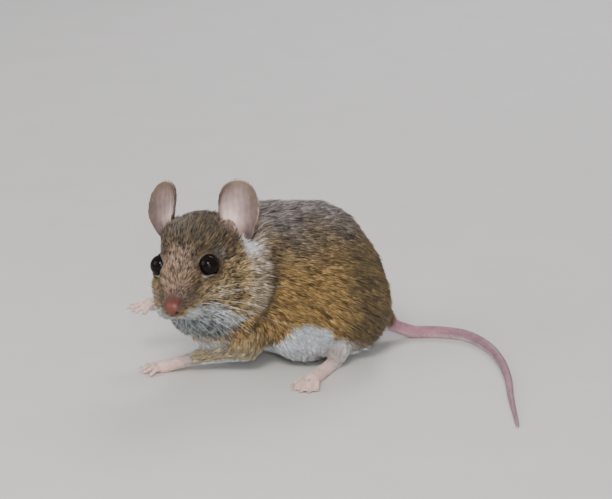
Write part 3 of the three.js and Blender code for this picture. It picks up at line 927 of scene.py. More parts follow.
# the bare pad of the nose and the dark hairs over it
def nosePlaces(hx, hy, hz, onHead):
    down = (hx - 10.3) * 0.72 - (hz + 2.9) * 0.69
    long = np.where(down < 0, 2.2, 2.6)
    pad = onHead * ramp(1.12, 0.88, np.hypot(down / long, hy / (1.95 - 0.12 * down)))
    pad *= ramp(8, 8.8, hx - hz * 0.2)
    pad *= ramp(-6.2, -5.4, hz)
    top = onHead * ramp(1.4, 0.85, np.hypot((down + 1.0) / 2.7, hy / 2.3))
    return down, pad, top


def markings(p, normals, parts, tailPlace):
    count = len(p)
    hx, hy, hz, headSide = headSides(p)
    spot = np.stack([hx, hy, hz], 1)
    onHead = np.clip(parts["head"] + parts["neck"] * ramp(-16, -9, hx), 0, 1)
    onFace = onHead * ramp(-12, -7, hx)
    foreLimb = parts["foreLeft"] + parts["foreRight"]
    hindLimb = parts["hindLeft"] + parts["hindRight"]
    limb = foreLimb + hindLimb
    light, dark = (np.tile(paint(code), (count, 1)) for code in fur["flank"])

    def lay(kind, share):
        nonlocal light, dark
        share = np.clip(share, 0, 1)
        light, dark = mixed(light, fur[kind][0], share), mixed(dark, fur[kind][1], share)

    # brown above: the back, lighter and greyer along its top as painted sheen and darker towards the rump as
    # painted shade, then the ruff and the face
    wave = mottle(p, 3.5) * 1.6
    lay("back", ramp(21, 33.5, p[:, 2] + wave) * 0.95)
    # painted sheen along the top of the back
    lay("topSheen", ramp(29.5, 36, p[:, 2] + wave * 0.8) * 0.8)
    # painted shade, darker towards the rump
    lay("rumpShade", ramp(0.5, -6.5, p[:, 0] + wave * 0.6) * ramp(31, 24, p[:, 2]) * 0.85)
    lay("flank", bump3(p, (-20, 0, 7), (3.5, 5, 4)) * 0.4)
    ahead = p[:, 0] - edgeAt("ruff", p[:, 2])
    ruff = ramp(0.4, 1.6, ahead) * ramp(7.5, 3.5, ahead) * ramp(14, 18, p[:, 2]) * ramp(4, 7, p[:, 1])
    farRuff = onHead * ramp(-1, -5.5, hx) * ramp(-6, -8.5, headSide) * ramp(3, 0, hz)
    farRuff *= ramp(-13, -9, hz) * 0.75
    lay("face", onFace * ramp(-5.5, -2, hz))
    lay("cheek", onFace * ramp(-1, -4.5, hz) * ramp(2.5, 5, hy))
    lay("ruff", np.maximum(ruff * ramp(9, 4, ahead), farRuff) * (0.8 + mottle(p, 1.1, 8) * 0.25))
    lay("ruffTop", ruff * ramp(22.5, 26, p[:, 2]) * ramp(5, 3, ahead) * 0.5)
    lay("crown", onHead * ramp(1, -4, hx + mottle(p, 1.4, 1) * 1.2) * ramp(1.0, 4.0, hz))
    lay("bridge", onFace * ramp(-1.5, 1.5, hx) * ramp(4.2, 2.2, hy) * ramp(-5, -2.5, hz) * 0.9)
    lay("pad", onHead * bump3(spot, (8.2, 3.0, -2.9), (2.6, 1.8, 1.5)) * 0.9)
    lay("eyeRing", onHead * bump3(spot, (-3.2, 6.6, 0.4), (1.5, 2.0, 1.6)) * 0.9)
    # white below: chin and throat, the throat's pale grey darkened as painted shade under the head, then the
    # belly and the insides of the limbs
    line = edgeAt("mouth", hx)
    throat = onHead * ramp(line + 0.5, line - 0.6, hz + mottle(p, 0.9, 2) * 0.35)
    floorLine = edgeAt("throatFoot", p[:, 0])
    throat *= ramp(floorLine - 0.8, floorLine + 0.8, p[:, 2]) * ramp(-5, -2.5, hx)
    # the throat's own pale grey, darkened as painted shade under the head
    lay("throat", throat)
    lay("lip", throat * ramp(line - 3.4, line - 1.2, hz) * 0.9)
    bellyLine = edgeAt("belly", p[:, 0])
    inward = ramp(0.1, -0.5, normals[:, 1] * np.sign(p[:, 1]))
    belly = ramp(bellyLine + 0.7, bellyLine - 0.7, p[:, 2] + mottle(p, 0.9, 3) * 0.4) * (1 - foreLimb)
    for white in (ramp(-0.45, -0.75, normals[:, 2]), limb * inward * ramp(13, 9, p[:, 2]),
                  hindLimb * ramp(8.5, 6.5, p[:, 2])):
        belly = np.maximum(belly, white)
    lay("arm", foreLimb * ramp(14, 9, p[:, 2]) * 0.75)
    lay("belly", belly * (1 - onHead))
    patchPlace = spot - np.array(patchShape["at"])
    patchPlace[:, 0] += patchShape["lean"] * (hz - patchShape["leanFrom"])
    patchSize = np.linalg.norm(patchPlace / patchShape["half"], axis=1)
    patch = ramp(1.3, 0.7, patchSize + mottle(p, 0.5, 7) * 0.2)
    lay("snow", patch * 0.95)
    # painted shade in the crease behind the cheek
    shadedCrease = np.exp(-(toPath(p, creases[0]["path"]) / 1.25) ** 2) * (1 - patch)
    lay("shadedCrease", shadedCrease * ramp(29.5, 26, p[:, 2]) * ramp(10, 12.5, p[:, 2]) * 0.95)
    # feet: pale hairs thinning over pink skin
    bare = np.zeros(count)
    for name, path in limbPaths.items():
        share = parts[name]
        wrist, palm = path[-2], path[-1]
        along = (p - wrist) @ (palm - wrist) / ((palm - wrist) ** 2).sum()
        paw = share * ramp(-0.55, 0.15, along) * ramp(6.5, 4.5, p[:, 2] - wrist[2] + 1)
        lay("foot", paw)
        bare = np.maximum(bare, share * ramp(0.0, 0.5, along))
        bare = np.maximum(bare, paw * ramp(-0.5, -0.8, normals[:, 2]))
    # the skin under the fur: the fur's slate base, darkened further as painted shade in the gaps between
    # hairs
    underFurShade = (light * 0.35 + dark * 0.65) * 0.6
    skinTone = tinted(underFurShade, ("root", np.full(count, 0.25)), ("foot", np.clip(bare * 1.2, 0, 1)))
    # tail: bare and ringed, darker above than below
    onTail = np.clip(parts["tail"] * 1.5, 0, 1) * ramp(0.0, 0.05, tailPlace)
    lay("tailTop", onTail * ramp(-0.2, 0.3, normals[:, 2]))
    lay("foot", onTail * ramp(-0.2, -0.5, normals[:, 2]))
    tailTone = tinted(
        np.tile(paint(bareSkin["tail"]), (count, 1)),
        ("tailLow", ramp(0.1, -0.6, normals[:, 2])),
        ("tailRoot", ramp(0.34, 0.08, tailPlace) * 0.7),
    )
    skinTone += (tailTone - skinTone) * onTail[:, None]
    # ears, with the pale hairs at their feet
    ear, inner, across, height = earPlaces(p)
    ear = ear * ramp(0.5, 2.5, height + 0.4 * np.abs(across))
    lay("earBack", ear * (1 - inner))
    lay("earInner", ear * inner)
    tuft = ear * inner * ramp(4.8, 2.6, height) * ramp(0.2, 2.2, across)
    earFoot = onHead * bump3(spot, (-10.2, 7.3, 3.0), (1.9, 1.5, 2.7))
    lay("earTuft", np.maximum(tuft, earFoot * 0.9))
    skinTone += (earTones(p, inner, across, height) - skinTone) * ear[:, None]
    bare = np.maximum(bare, ear * inner * ramp(0.5, 3, height)) * (1 - tuft * 0.8)
    # nose and lids, with painted shade on the sides of the nose pad and inside the nostrils
    down, pad, top = nosePlaces(hx, hy, hz, onHead)
    skinTone = tinted(
        skinTone,
        ("noseTop", top),
        ("nose", pad * ramp(-2.6, 0.2, down + mottle(p, 0.45, 4) * 0.5)),
        # painted shade on the sides of the nose pad
        ("noseSideShade", pad * ramp(1.1, 1.9, hy) * ramp(2.2, 0.6, down) * 0.8),
        # painted shade inside the nostrils, darker where they are deeper
        ("nostrilShade", ramp(0.12, 0.34, noseDeep)),
        ("lidPale", ramp(1.26, 1.14, lidShare) * (0.25 + 0.65 * ramp(0.5, -0.6, hz))),
        ("lid", ramp(1.05, 1.0, lidShare)),
    )
    bare = np.maximum(np.maximum(bare, pad), ramp(1.18, 1.08, lidShare))
    return {"light": light, "dark": dark, "skin": skinTone, "bare": np.clip(bare, 0, 1), "ear": ear,
            "inner": inner, "tail": onTail, "nose": pad, "noseTop": top, "tuft": tuft, "onHead": onHead,
            "limb": limb, "throat": throat, "belly": np.maximum(belly, patch), "patch": patch,
            "earFoot": earFoot}


points[:, 2] = np.maximum(points[:, 2], 0.0)
setPlaces(skin.data, points)
normals = normalsOf(skin.data)
parts, coatDepth, tailPlace = belongs(points)
marks = markings(points, normals, parts, tailPlace)
skinTree = treeOf(points)
print("skin: marked")

# ---- lie of the coat: named directions on the head and body that fade into each other, and along the limbs
lieHead = [
    ((9.5, 0, -2), (-1, 0.1, 0.5)), ((6, 1.5, -0.5), (-1, 0.15, 0.45)), ((2, 1, 4.3), (-1, 0.1, 0.4)),
    ((-5, 2, 6.5), (-1, 0.1, 0.1)), ((-12, 2, 5.5), (-1, 0, -0.2)), ((1.5, 4.5, 3.8), (-1, 0.4, 0.5)),
    ((-3, 6, 3.5), (-1, 0.3, 0.35)), ((-4, 7.4, 0), (-1, 0.35, -0.1)), ((1, 7, -4), (-0.95, 0.35, -0.3)),
    ((4.5, 5.2, -2.5), (-1, 0.5, 0.05)), ((7.5, 4.2, -4.8), (-0.9, 0.55, -0.2)),
    ((8.5, 3, -8), (-0.5, 0.35, -0.9)), ((11, 1.2, -6.5), (-0.4, 0.5, -0.9)),
    ((5, 1, -11), (-0.9, 0.1, -0.5)), ((5, 5, -9), (-0.75, 0.3, -0.8)),
    ((-2, 9.2, -6), (-0.95, 0.3, -0.35)), ((-1, 8, -12), (-0.7, 0.2, -0.85)), ((2, 5, -16), (-0.5, 0.05, -1)),
    ((-8, 9.5, -3), (-1, 0.25, -0.3)), ((-8, 6, 4.5), (-0.8, 0.3, 0.8)), ((-13, 8, 1), (-1, 0.1, -0.3)),
]
lieBody = [
    ((15, 0, 35), (-1, 0, 0)), ((8, 8, 33), (-1, 0.1, -0.25)), ((-2, 0, 36.5), (-1, 0, -0.05)),
    ((-10, 5, 32), (-0.9, 0.1, -0.45)), ((-17, 3, 25), (-0.6, 0, -0.8)), ((-19, 2, 14), (-0.35, 0, -1)),
    ((-19, 0, 6), (-1, 0, -0.4)), ((14, 11, 24), (-0.9, 0, -0.4)), ((13, 12, 15), (-0.8, 0, -0.6)),
    ((4, 13, 22), (-0.95, 0, -0.33)), ((-5, 14, 19), (-0.9, 0, -0.45)), ((-10, 14, 13), (-0.85, 0.1, -0.55)),
    ((-8, 14, 6), (-0.75, 0, -0.65)), ((4, 14, 7), (-0.6, 0.1, -0.8)), ((8, 12, 10), (-0.85, -0.1, -0.5)),
    ((5, 0, 2.5), (-1, 0, 0)), ((20, 4, 5), (-0.7, 0, -0.7)), ((28, 4, 11), (-0.4, 0, -0.95)),
    ((20, 12, 22), (-1, 0.1, -0.12)), ((17, 11, 27), (-1, 0.1, -0.05)), ((16, 11, 20), (-1, 0.1, -0.2)),
    ((18, 11, 16), (-1, 0.1, -0.3)), ((-12, 0, 3), (-1, 0, 0)),
]


def blended(p, controls, spread):
    total = np.zeros_like(p)
    for place, way in controls:
        for side in (1, -1) if place[1] != 0 else (1,):
            spot, direction = np.array(place) * [1, side, 1], unit(np.array(way, float)) * [1, side, 1]
            total += np.exp(-squaredAway(p, spot) / (2 * spread ** 2))[:, None] * direction
    return unit(total + 1e-9 * np.array([-1, 0, 0]))


def lieOf(p, normals, parts, onHead):
    headLie = blended(toHead(p), lieHead, 3.0) @ headTurned.T
    bodyLie = blended(p, lieBody, 5.0)
    lie = bodyLie + (headLie - bodyLie) * onHead[:, None]
    for name, path in limbPaths.items():
        along = np.zeros_like(p)
        for start, end in zip(path[:-1], path[1:]):
            near = np.exp(-squaredAway(p, (start + end) / 2) / (0.35 * ((end - start) ** 2).sum() + 4))
            along += near[:, None] * unit(end - start)
        along = unit(along + 1e-9)
        lie = lie + (along - lie) * np.clip(parts[name] * 1.3 - 0.15, 0, 1)[:, None]
    tailWay = unit(np.gradient(tailLine, axis=0))
    way = np.stack([np.interp(tailPlace, tailShare, tailWay[:, k]) for k in range(3)], 1)
    lie = lie + (way - lie) * marks["tail"][:, None]
    upEar = unit(fromHead([[-0.4, 0, 1]]) - eyeMiddle)[0]
    lie = lie + (upEar - lie) * marks["ear"][:, None]
    lie = lie - normals * (lie * normals).sum(1, keepdims=True)
    return unit(lie)


lie = lieOf(points, normals, parts, marks["onHead"])
lie = unit(evened(skin.data, lie, 0.6, 4))

# ---- coat sizes in millimetres: how long, how wide and how close the hairs grow
coat = {
    "seed": 11,
    "body": 3.9,
    "belly": 3.0,
    "nape": 2.6,
    "cheek": 2.7,
    "throat": 2.6,
    "crown": 2.4,
    "face": 1.7,
    "muzzle": 0.9,
    "chin": 1.5,
    "limb": 2.5,
    "wrist": 0.6,
    "foot": 0.6,
    "ear": 0.5,
    "tail": 0.5,
    "bodyPerMm": 19.5,
    "headPerMm": 47.0,
    "limbPerMm": 26.0,
    "thinPerMm": 9.0,
    "wideBody": 0.172,
    "wideFace": 0.1,
    "pieceSize": 19000,
    "longFrom": 1.35,
    "floorGap": 0.06,
}
# how hairs differ from each other. A lock is a few hairs that lean to the one that leads them
spreads = {
    "lockSize": 8,
    "lockSwing": 0.08,
    "swing": 0.09,
    "length": (0.75, 1.12),
    "depth": (0.65, 1.12),
    "width": (0.75, 1.25),
    "gather": (0.1, 0.5),
    "bury": 0.12,
}
# guard hairs are few, and longer, higher and thinner than the rest
guardHair = {"share": 0.07, "longer": 1.22, "higher": 1.15, "thinner": 0.7, "shades": (-0.4, 0.35)}


def coatSizes(p, parts, marks):
    hx, _, hz, _ = headSides(p)
    onHead = marks["onHead"]
    length = np.full(len(p), coat["body"])

    def lay(size, share):
        nonlocal length
        length = length + (coat[size] - length) * np.clip(share, 0, 1)

    lay("belly", ramp(9, 5, p[:, 2]))
    lay("nape", parts["neck"] + ramp(12, 18, p[:, 0]) * 0.6)
    lay("cheek", onHead)
    lay("crown", onHead * ramp(-2, 2, hz) * ramp(-14, -10, hx))
    lay("face", onHead * ramp(-5, 0, hx) * ramp(-9, -5, hz))
    lay("muzzle", onHead * ramp(4, 8, hx))
    lay("throat", onHead * ramp(-8.4, -10.5, hz) * ramp(10.5, 8.5, hx))
    lay("chin", onHead * ramp(-6.2, -7.6, hz) * ramp(6, 8, hx))
    for name, path in limbPaths.items():
        fromWrist = np.linalg.norm(p - path[-2], axis=1)
        lay("limb", parts[name] * ramp(10, 6, fromWrist))
        lay("wrist", parts[name] * ramp(4.2, 1.0, fromWrist))
        lay("foot", parts[name] * ramp(0, 1, (p - path[-2]) @ (path[-1] - path[-2])))
    earFur = marks["ear"] * (1 - marks["tuft"])
    lay("ear", earFur)
    lay("tail", marks["tail"])
    length *= 1 - 0.6 * bump3(p, (-20.5, 0, 6), (4, 5, 4))
    length *= 1 - 0.3 * marks["patch"] - 0.45 * marks["earFoot"]
    length *= 1 - 0.6 * ramp(1.9, 1.2, lidShare)
    length *= 1 - 0.55 * np.exp(-(toPath(p, creases[0]["path"]) / 1.0) ** 2)
    share = ramp(2.6, 1.3, length)
    width = coat["wideBody"] + (coat["wideFace"] - coat["wideBody"]) * share
    dense = coat["bodyPerMm"] + (coat["headPerMm"] - coat["bodyPerMm"]) * share
    dense = dense + (coat["limbPerMm"] - dense) * np.clip(marks["limb"] - 0.2, 0, 1) * share
    dense = dense + (coat["thinPerMm"] - dense) * np.clip(np.maximum(earFur, marks["tail"]), 0, 1)
    dense *= 1 - marks["bare"] * (0.8 - 0.35 * np.clip(marks["limb"], 0, 1))
    dense *= 1 - 0.55 * earFur * marks["inner"]
    dense *= ramp(1.06, 1.16, lidShare) * (1 - ramp(0.4, 0.9, marks["nose"])) * (1 - 0.3 * marks["noseTop"])
    return length, width, dense


hairLength, hairWidth, hairDense = coatSizes(points, parts, marks)
print("coat: sized")


# ---- skin finish: into the shared frame, unwrapped, coloured
def finishSkin():
    mesh = skin.data
    setPlaces(mesh, toFrame(points))
    smoothed(mesh)
    colours = np.ones((len(points), 4), np.float32)
    colours[:, :3] = marks["skin"]
    addTone(mesh, colours)
    for name, share in (("nose", marks["nose"]), ("tail", marks["tail"]), ("along", tailPlace)):
        layer = mesh.attributes.new(name, "FLOAT", "POINT")
        layer.data.foreach_set("value", share.astype(np.float32))
    mesh.uv_layers.new(name="OFBake")
    bpy.context.view_layer.objects.active = skin
    skin.select_set(True)
    bpy.ops.object.mode_set(mode="EDIT")
    bpy.ops.mesh.select_all(action="SELECT")
    bpy.ops.uv.smart_project(angle_limit=math.radians(70), island_margin=0.001)
    bpy.ops.object.mode_set(mode="OBJECT")
    skin.select_set(False)


finishSkin()
print("skin: unwrapped,", len(skin.data.polygons), "faces")


# ---- materials
def newMaterial(name, roughness, specular=0.5):
    made = bpy.data.materials.new(name)
    made.use_nodes = True
    nodes, links = made.node_tree.nodes, made.node_tree.links
    shader = nodes["Principled BSDF"]
    shader.inputs["Roughness"].default_value = roughness
    shader.inputs["Specular IOR Level"].default_value = specular
    return made, nodes, links, shader


def addNode(nodes, kind, **settings):
    node = nodes.new(kind)
    for name, value in settings.items():
        if name in node.inputs:
            node.inputs[name].default_value = value
        else:
            setattr(node, name, value)
    return node


def addNoise(nodes, links, grain, detail, roughness=0.5):
    where = addNode(nodes, "ShaderNodeTexCoord")
    noise = addNode(nodes, "ShaderNodeTexNoise", Scale=1 / grain, Detail=detail, Roughness=roughness)
    links.new(where.outputs["Object"], noise.inputs["Vector"])
    return noise.outputs["Fac"]


def addRange(nodes, links, source, fromLow, fromHigh, toLow, toHigh):
    spread = addNode(nodes, "ShaderNodeMapRange")
    for name, value in (("From Min", fromLow), ("From Max", fromHigh), ("To Min", toLow), ("To Max", toHigh)):
        spread.inputs[name].default_value = value
    links.new(source, spread.inputs["Value"])
    return spread.outputs["Result"]


def addMath(nodes, links, operation, *sources):
    node = addNode(nodes, "ShaderNodeMath", operation=operation)
    for source, socket in zip(sources, node.inputs):
        if isinstance(source, (int, float)):
            socket.default_value = source
        else:
            links.new(source, socket)
    return node.outputs[0]


# the colour that rides on the mesh, made lighter or darker by a shade
def shadeTone(nodes, links, shader, shade):
    tone = addNode(nodes, "ShaderNodeAttribute", attribute_name="tone")
    scaled = addNode(nodes, "ShaderNodeVectorMath", operation="SCALE")
    links.new(tone.outputs["Color"], scaled.inputs[0])
    links.new(shade, scaled.inputs["Scale"])
    links.new(scaled.outputs[0], shader.inputs["Base Color"])


# a finish with two colours that run into each other
def grainedMaterial(name, roughness, specular, grain, detail, colours, stops=(0.0, 1.0)):
    made, nodes, links, shader = newMaterial(name, roughness, specular)
    ramped = addNode(nodes, "ShaderNodeValToRGB")
    for element, stop, colour in zip(ramped.color_ramp.elements, stops, colours):
        element.position = stop
        element.color = (*colour, 1)
    links.new(addNoise(nodes, links, grain, detail), ramped.inputs["Fac"])
    links.new(ramped.outputs["Color"], shader.inputs["Base Color"])
    return made


# skin, bare or under the coat: colours ride on the mesh, the grain comes from noise, the rings from a wave
def skinMaterial():
    made, nodes, links, shader = newMaterial("mouse_skin", 0.6, 0.35)
    shader.inputs["Subsurface Weight"].default_value = 0.12
    shader.inputs["Subsurface Radius"].default_value = (0.9, 0.35, 0.25)
    shader.inputs["Subsurface Scale"].default_value = 0.0008
    tail, along, noseShare = (addNode(nodes, "ShaderNodeAttribute", attribute_name=name).outputs["Fac"]
                              for name in ("tail", "along", "nose"))
    ringCount = 160
    wave = addMath(nodes, links, "SINE", addMath(nodes, links, "MULTIPLY", along, ringCount * 2 * math.pi))
    rings = addMath(nodes, links, "MULTIPLY", wave, tail)
    broad = addRange(nodes, links, addNoise(nodes, links, 0.003, 3.0, 0.55), 0.3, 0.7, 0.8, 1.18)
    shadeTone(nodes, links, shader, addMath(nodes, links, "MULTIPLY_ADD", rings, 0.13, broad))
    links.new(addRange(nodes, links, noseShare, 0.0, 1.0, 0.58, 0.4), shader.inputs["Roughness"])
    fine = addNoise(nodes, links, 0.0004, 4.0, 0.6)
    bump = addNode(nodes, "ShaderNodeBump", Strength=0.35, Distance=0.00008)
    links.new(addMath(nodes, links, "MULTIPLY_ADD", rings, 0.6, fine), bump.inputs["Height"])
    links.new(bump.outputs["Normal"], shader.inputs["Normal"])
    return made


# hair: the colours of each hair ride on the mesh, with a slight uneven shade along it
def hairMaterial():
    made, nodes, links, shader = newMaterial("mouse_hair", 0.55, 0.28)
    shader.inputs["Sheen Weight"].default_value = 0.08
    shader.inputs["Sheen Roughness"].default_value = 0.45
    shade = addRange(nodes, links, addNoise(nodes, links, 0.0009, 2.0), 0.3, 0.7, 0.84, 1.14)
    shadeTone(nodes, links, shader, shade)
    return made


skinFinish, hairFinish = skinMaterial(), hairMaterial()
skin.data.materials.append(skinFinish)
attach(skin, "root")
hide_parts(*skinShape["fleshNodes"], *skinShape["otherNodes"])


# ---- coat: hairs as closed slivers, rooted evenly over the skin and laid along it
def rootsOfHair(rng, thinning):
    mesh = skin.data
    mesh.calc_loop_triangles()
    corners = np.empty(len(mesh.loop_triangles) * 3, np.int32)
    loops = np.empty(len(mesh.loop_triangles) * 3, np.int32)
    mesh.loop_triangles.foreach_get("vertices", corners)
    mesh.loop_triangles.foreach_get("loops", loops)
    corners, loops = corners.reshape(-1, 3), loops.reshape(-1, 3)
    uvs = np.empty(len(mesh.loops) * 2, np.float32)
    mesh.uv_layers["OFBake"].data.foreach_get("uv", uvs)
    uvs = uvs.reshape(-1, 2)
    a, b, c = (points[corners[:, k]] for k in range(3))
    area = np.linalg.norm(np.cross(b - a, c - a), axis=1) / 2
    wanted = np.cumsum(area * hairDense[corners].mean(1) * thinning)
    count = int(wanted[-1])
    picks = np.searchsorted(wanted, (np.arange(count) + rng.random(count)) * wanted[-1] / count)
    picks = np.minimum(picks, len(corners) - 1)
    r, t = np.sqrt(rng.random(count)), rng.random(count)
    share = np.stack([1 - r, r * (1 - t), r * t], 1)

    def spread(values):
        here = values[corners[picks]]
        return (here * (share[:, :, None] if here.ndim == 3 else share)).sum(1)

    return spread, (uvs[loops[picks]] * share[:, :, None]).sum(1), count


# each spot is set at its height over the skin below it
def laid(spots, heights):
    result = spots.copy()
    for i in range(len(spots)):
        _, k, _ = skinTree.find(spots[i])
        normal = normals[k]
        result[i] += normal * (heights[i] - (spots[i] - points[k]) @ normal)
    return result


def slivers(hairs, long):
    rootPlace, midPlace, tipPlace = (hairs[name] for name in ("start", "middle", "tip"))
    up, wide = hairs["up"], hairs["width"]
    count = len(rootPlace)
    along = unit(tipPlace - rootPlace)
    side = unit(np.cross(along, up))
    lift = np.cross(side, along)
    corners = [(math.cos(t), math.sin(t) * 0.62) for t in (math.pi / 2, math.pi * 7 / 6, math.pi * 11 / 6)]
    rows = []
    rings = ((rootPlace, 0.62), (midPlace, 0.5)) if long else ((rootPlace, 0.55),)
    for centre, share in rings:
        for c, s in corners:
            rows.append(centre + (side * c + lift * s) * (wide * share)[:, None])
    rows.append(tipPlace)
    perHair = len(rows)
    made = np.stack(rows, 1).reshape(-1, 3)
    if long:
        pattern = [(0, 2, 1)]
        for k in range(3):
            j = (k + 1) % 3
            pattern += [(k, j, 3 + j), (k, 3 + j, 3 + k), (3 + k, 3 + j, 6)]
        spots = [(-1, -1), (1, -1), (0, -0.6), (-0.8, 0.1), (0.8, 0.1), (0, 0.4), (0, 1)]
    else:
        pattern = [(0, 2, 1), (0, 1, 3), (1, 2, 3), (2, 0, 3)]
        spots = [(-1, -1), (1, -1), (0, -0.2), (0, 1)]
    pattern = np.array(pattern)
    faces = (np.arange(count)[:, None, None] * perHair + pattern[None]).reshape(-1, 3)
    patch = np.array(spots)[pattern.ravel()] * 0.0015
    loopUvs = (np.clip(hairs["uv"], 0.002, 0.998)[:, None, :] + patch[None]).reshape(-1, 2)
    colours = np.ones((count, perHair, 4), np.float32)
    root, middle, tip = (hairs[name] for name in ("rootTone", "middleTone", "tipTone"))
    if long:
        colours[:, :3, :3], colours[:, 3:6, :3], colours[:, 6, :3] = root[:, None], middle[:, None], tip
    else:
        colours[:, :3, :3], colours[:, 3, :3] = (root * 0.4 + middle * 0.6)[:, None], tip
    return made, faces, loopUvs, colours.reshape(-1, 4)


def addCoatPiece(name, made):
    shape, faces, loopUvs, colours = made
    mesh = fastMesh(name, toFrame(shape), faces, loopUvs)
    smoothed(mesh)
    addTone(mesh, colours)
    mesh.materials.append(hairFinish)
    piece = addObject(name, mesh)
    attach(piece, "root")
    return len(faces)


def gatherLocks(rng, root):
    leaders = rng.permutation(len(root))[:len(root) // spreads["lockSize"]]
    tree = treeOf(root[leaders])
    return leaders, np.array([tree.find(p)[1] for p in root])


def bendHairs(rng, hairs, leaders, lock):
    root, up, way, count = hairs["root"], hairs["up"], hairs["way"], len(lock)
    swing = rng.normal(0, spreads["lockSwing"], len(leaders))[lock] + rng.normal(0, spreads["swing"], count)
    way = unit(way * np.cos(swing)[:, None] + np.cross(up, way) * np.sin(swing)[:, None])
    guard = rng.random(count) < guardHair["share"]
    length = hairs["length"] * rng.uniform(*spreads["length"], count)
    length *= np.where(guard, guardHair["longer"], 1)
    depth = np.maximum(hairs["depth"], 0.06) * rng.uniform(*spreads["depth"], count)
    depth = np.minimum(depth * np.where(guard, guardHair["higher"], 1), length * 0.55)
    depth *= 1 + 0.25 * rng.normal(0, 0.5, len(leaders))[lock]
    middle = laid(root + way * (length * 0.5)[:, None], depth * 0.66)
    tip = laid(root + way * length[:, None], depth)
    leader = leaders[lock]
    near = ramp(1.2, 0.6, np.linalg.norm(root - root[leader], axis=1))
    gather = near * rng.uniform(*spreads["gather"], count) * (1 - 0.3 * hairs["onHead"])
    tip += (tip[leader] - tip) * gather[:, None]
    middle += (middle[leader] - middle) * (gather * 0.4)[:, None]
    start = root - up * np.minimum(spreads["bury"], depth * 0.5)[:, None]
    for place in (start, middle, tip):
        place[:, 2] = np.maximum(place[:, 2], coat["floorGap"])
    hairs.update(start=start, middle=middle, tip=tip, guard=guard, long=length > coat["longFrom"])


# shades: locks, single hairs and slow waves, with slate roots, some dark tips and some pale ones
def toneHairs(rng, hairs, leaders, lock):
    light, dark, onHead, count = hairs["light"], hairs["dark"], hairs["onHead"], len(lock)
    whiteness = np.clip(hairs["belly"] + hairs["throat"], 0, 1)
    shade = 0.52 + (0.18 + 0.24 * onHead) * rng.normal(0, 1, len(leaders))[lock]
    shade += (0.27 + 0.33 * onHead) * rng.normal(0, 1, count)
    shade += 0.12 * mottle(hairs["root"], 1.6, 5)
    guardShade = shade + rng.choice(guardHair["shades"], count)
    shade = np.clip(np.where(hairs["guard"], guardShade, shade), -0.05, 1.25)
    middle = np.clip(dark + (light - dark) * shade[:, None], 0.002, 1)
    darkTip = (rng.random(count) < 0.22 * (1 - whiteness)) & (shade < 0.7)
    tip = np.where(darkTip[:, None], middle * 0.45, np.clip(middle * 1.22, 0, 1))
    paleTip = (rng.random(count) < 0.08 + 0.16 * onHead) & ~darkTip
    tip = np.where(paleTip[:, None], np.clip(light * 1.35, 0, 1), tip)
    hairs.update(rootTone=middle * (0.3 + 0.45 * whiteness)[:, None], middleTone=middle, tipTone=tip)


def cutCoat(hairs):
    total = 0
    onHead = hairs["onHead"] > 0.5
    for kind, chosen in (("head", onHead), ("body", ~onHead)):
        number = 0
        for isLong in (True, False):
            picked = np.where(chosen & (hairs["long"] == isLong))[0]
            picked = picked[np.argsort(hairs["root"][picked, 0])]
            size = coat["pieceSize"] if isLong else coat["pieceSize"] * 2
            for begin in range(0, len(picked), size):
                part = {name: values[picked[begin:begin + size]] for name, values in hairs.items()}
                number += 1
                total += addCoatPiece("coat_" + kind + "_" + str(number), slivers(part, isLong))
    return total


def growCoat():
    rng = np.random.default_rng(coat["seed"])
    spread, uv, count = rootsOfHair(rng, 1.0)
    hairs = {"uv": uv, "root": spread(points), "up": unit(spread(normals)), "way": unit(spread(lie)),
             "length": spread(hairLength), "width": spread(hairWidth), "depth": spread(coatDepth)}
    for name in ("light", "dark", "onHead", "belly", "throat"):
        hairs[name] = spread(marks[name])
    leaders, lock = gatherLocks(rng, hairs["root"])
    bendHairs(rng, hairs, leaders, lock)
    toneHairs(rng, hairs, leaders, lock)
    thinning = np.where(hairs["guard"], guardHair["thinner"], 1)
    hairs["width"] *= rng.uniform(*spreads["width"], count) * thinning
    return count, cutCoat(hairs)


print("coat: hairs and triangles", growCoat())


# ---- tubes: for claws and whiskers
def tube(path, radii, sides=6):
    ways = unit(np.gradient(path, axis=0))
    across = unit(np.cross(ways, [0.03, 0.02, 1.0]))
    return ringed(path, across, np.cross(across, ways), radii, sides)


def addPiece(name, parts, material):
    shape, faces = joined(parts)
    mesh = meshFrom(name, toFrame(np.array(shape)), faces)
    smoothed(mesh)
    mesh.materials.append(material)
    piece = addObject(name, mesh)
    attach(piece, "root")
    return piece


# ---- claws: small curved horn points, pale and patchy
claw = {"length": 1.25, "radius": 0.2, "tip": 0.03, "steps": 7}


def clawParts():
    made = []
    for digit in digits:
        way = unit((digit["tip"] - digit["knuckle"]) * [1, 1, 0])
        start = digit["tip"] + np.array([0, 0, digit["radius"] * 0.35])
        t = np.linspace(0, 1, claw["steps"])
        path = start + way * (digit["radius"] * 0.4 + claw["length"] * t)[:, None]
        path[:, 2] += 0.28 * np.sin(t * 2.2) - 0.5 * t * t
        radii = claw["radius"] * (1 - t) ** 0.7 + claw["tip"]
        path[:, 2] = np.maximum(path[:, 2], coat["floorGap"])
        made.append(tube(path, radii))
    return made


clawColours = (paint("#8d7a6c"), paint("#d9c8b8"))
clawFinish = grainedMaterial("claw_horn", 0.35, 0.5, 0.0005, 2.0, clawColours)
addPiece("claws", clawParts(), clawFinish)


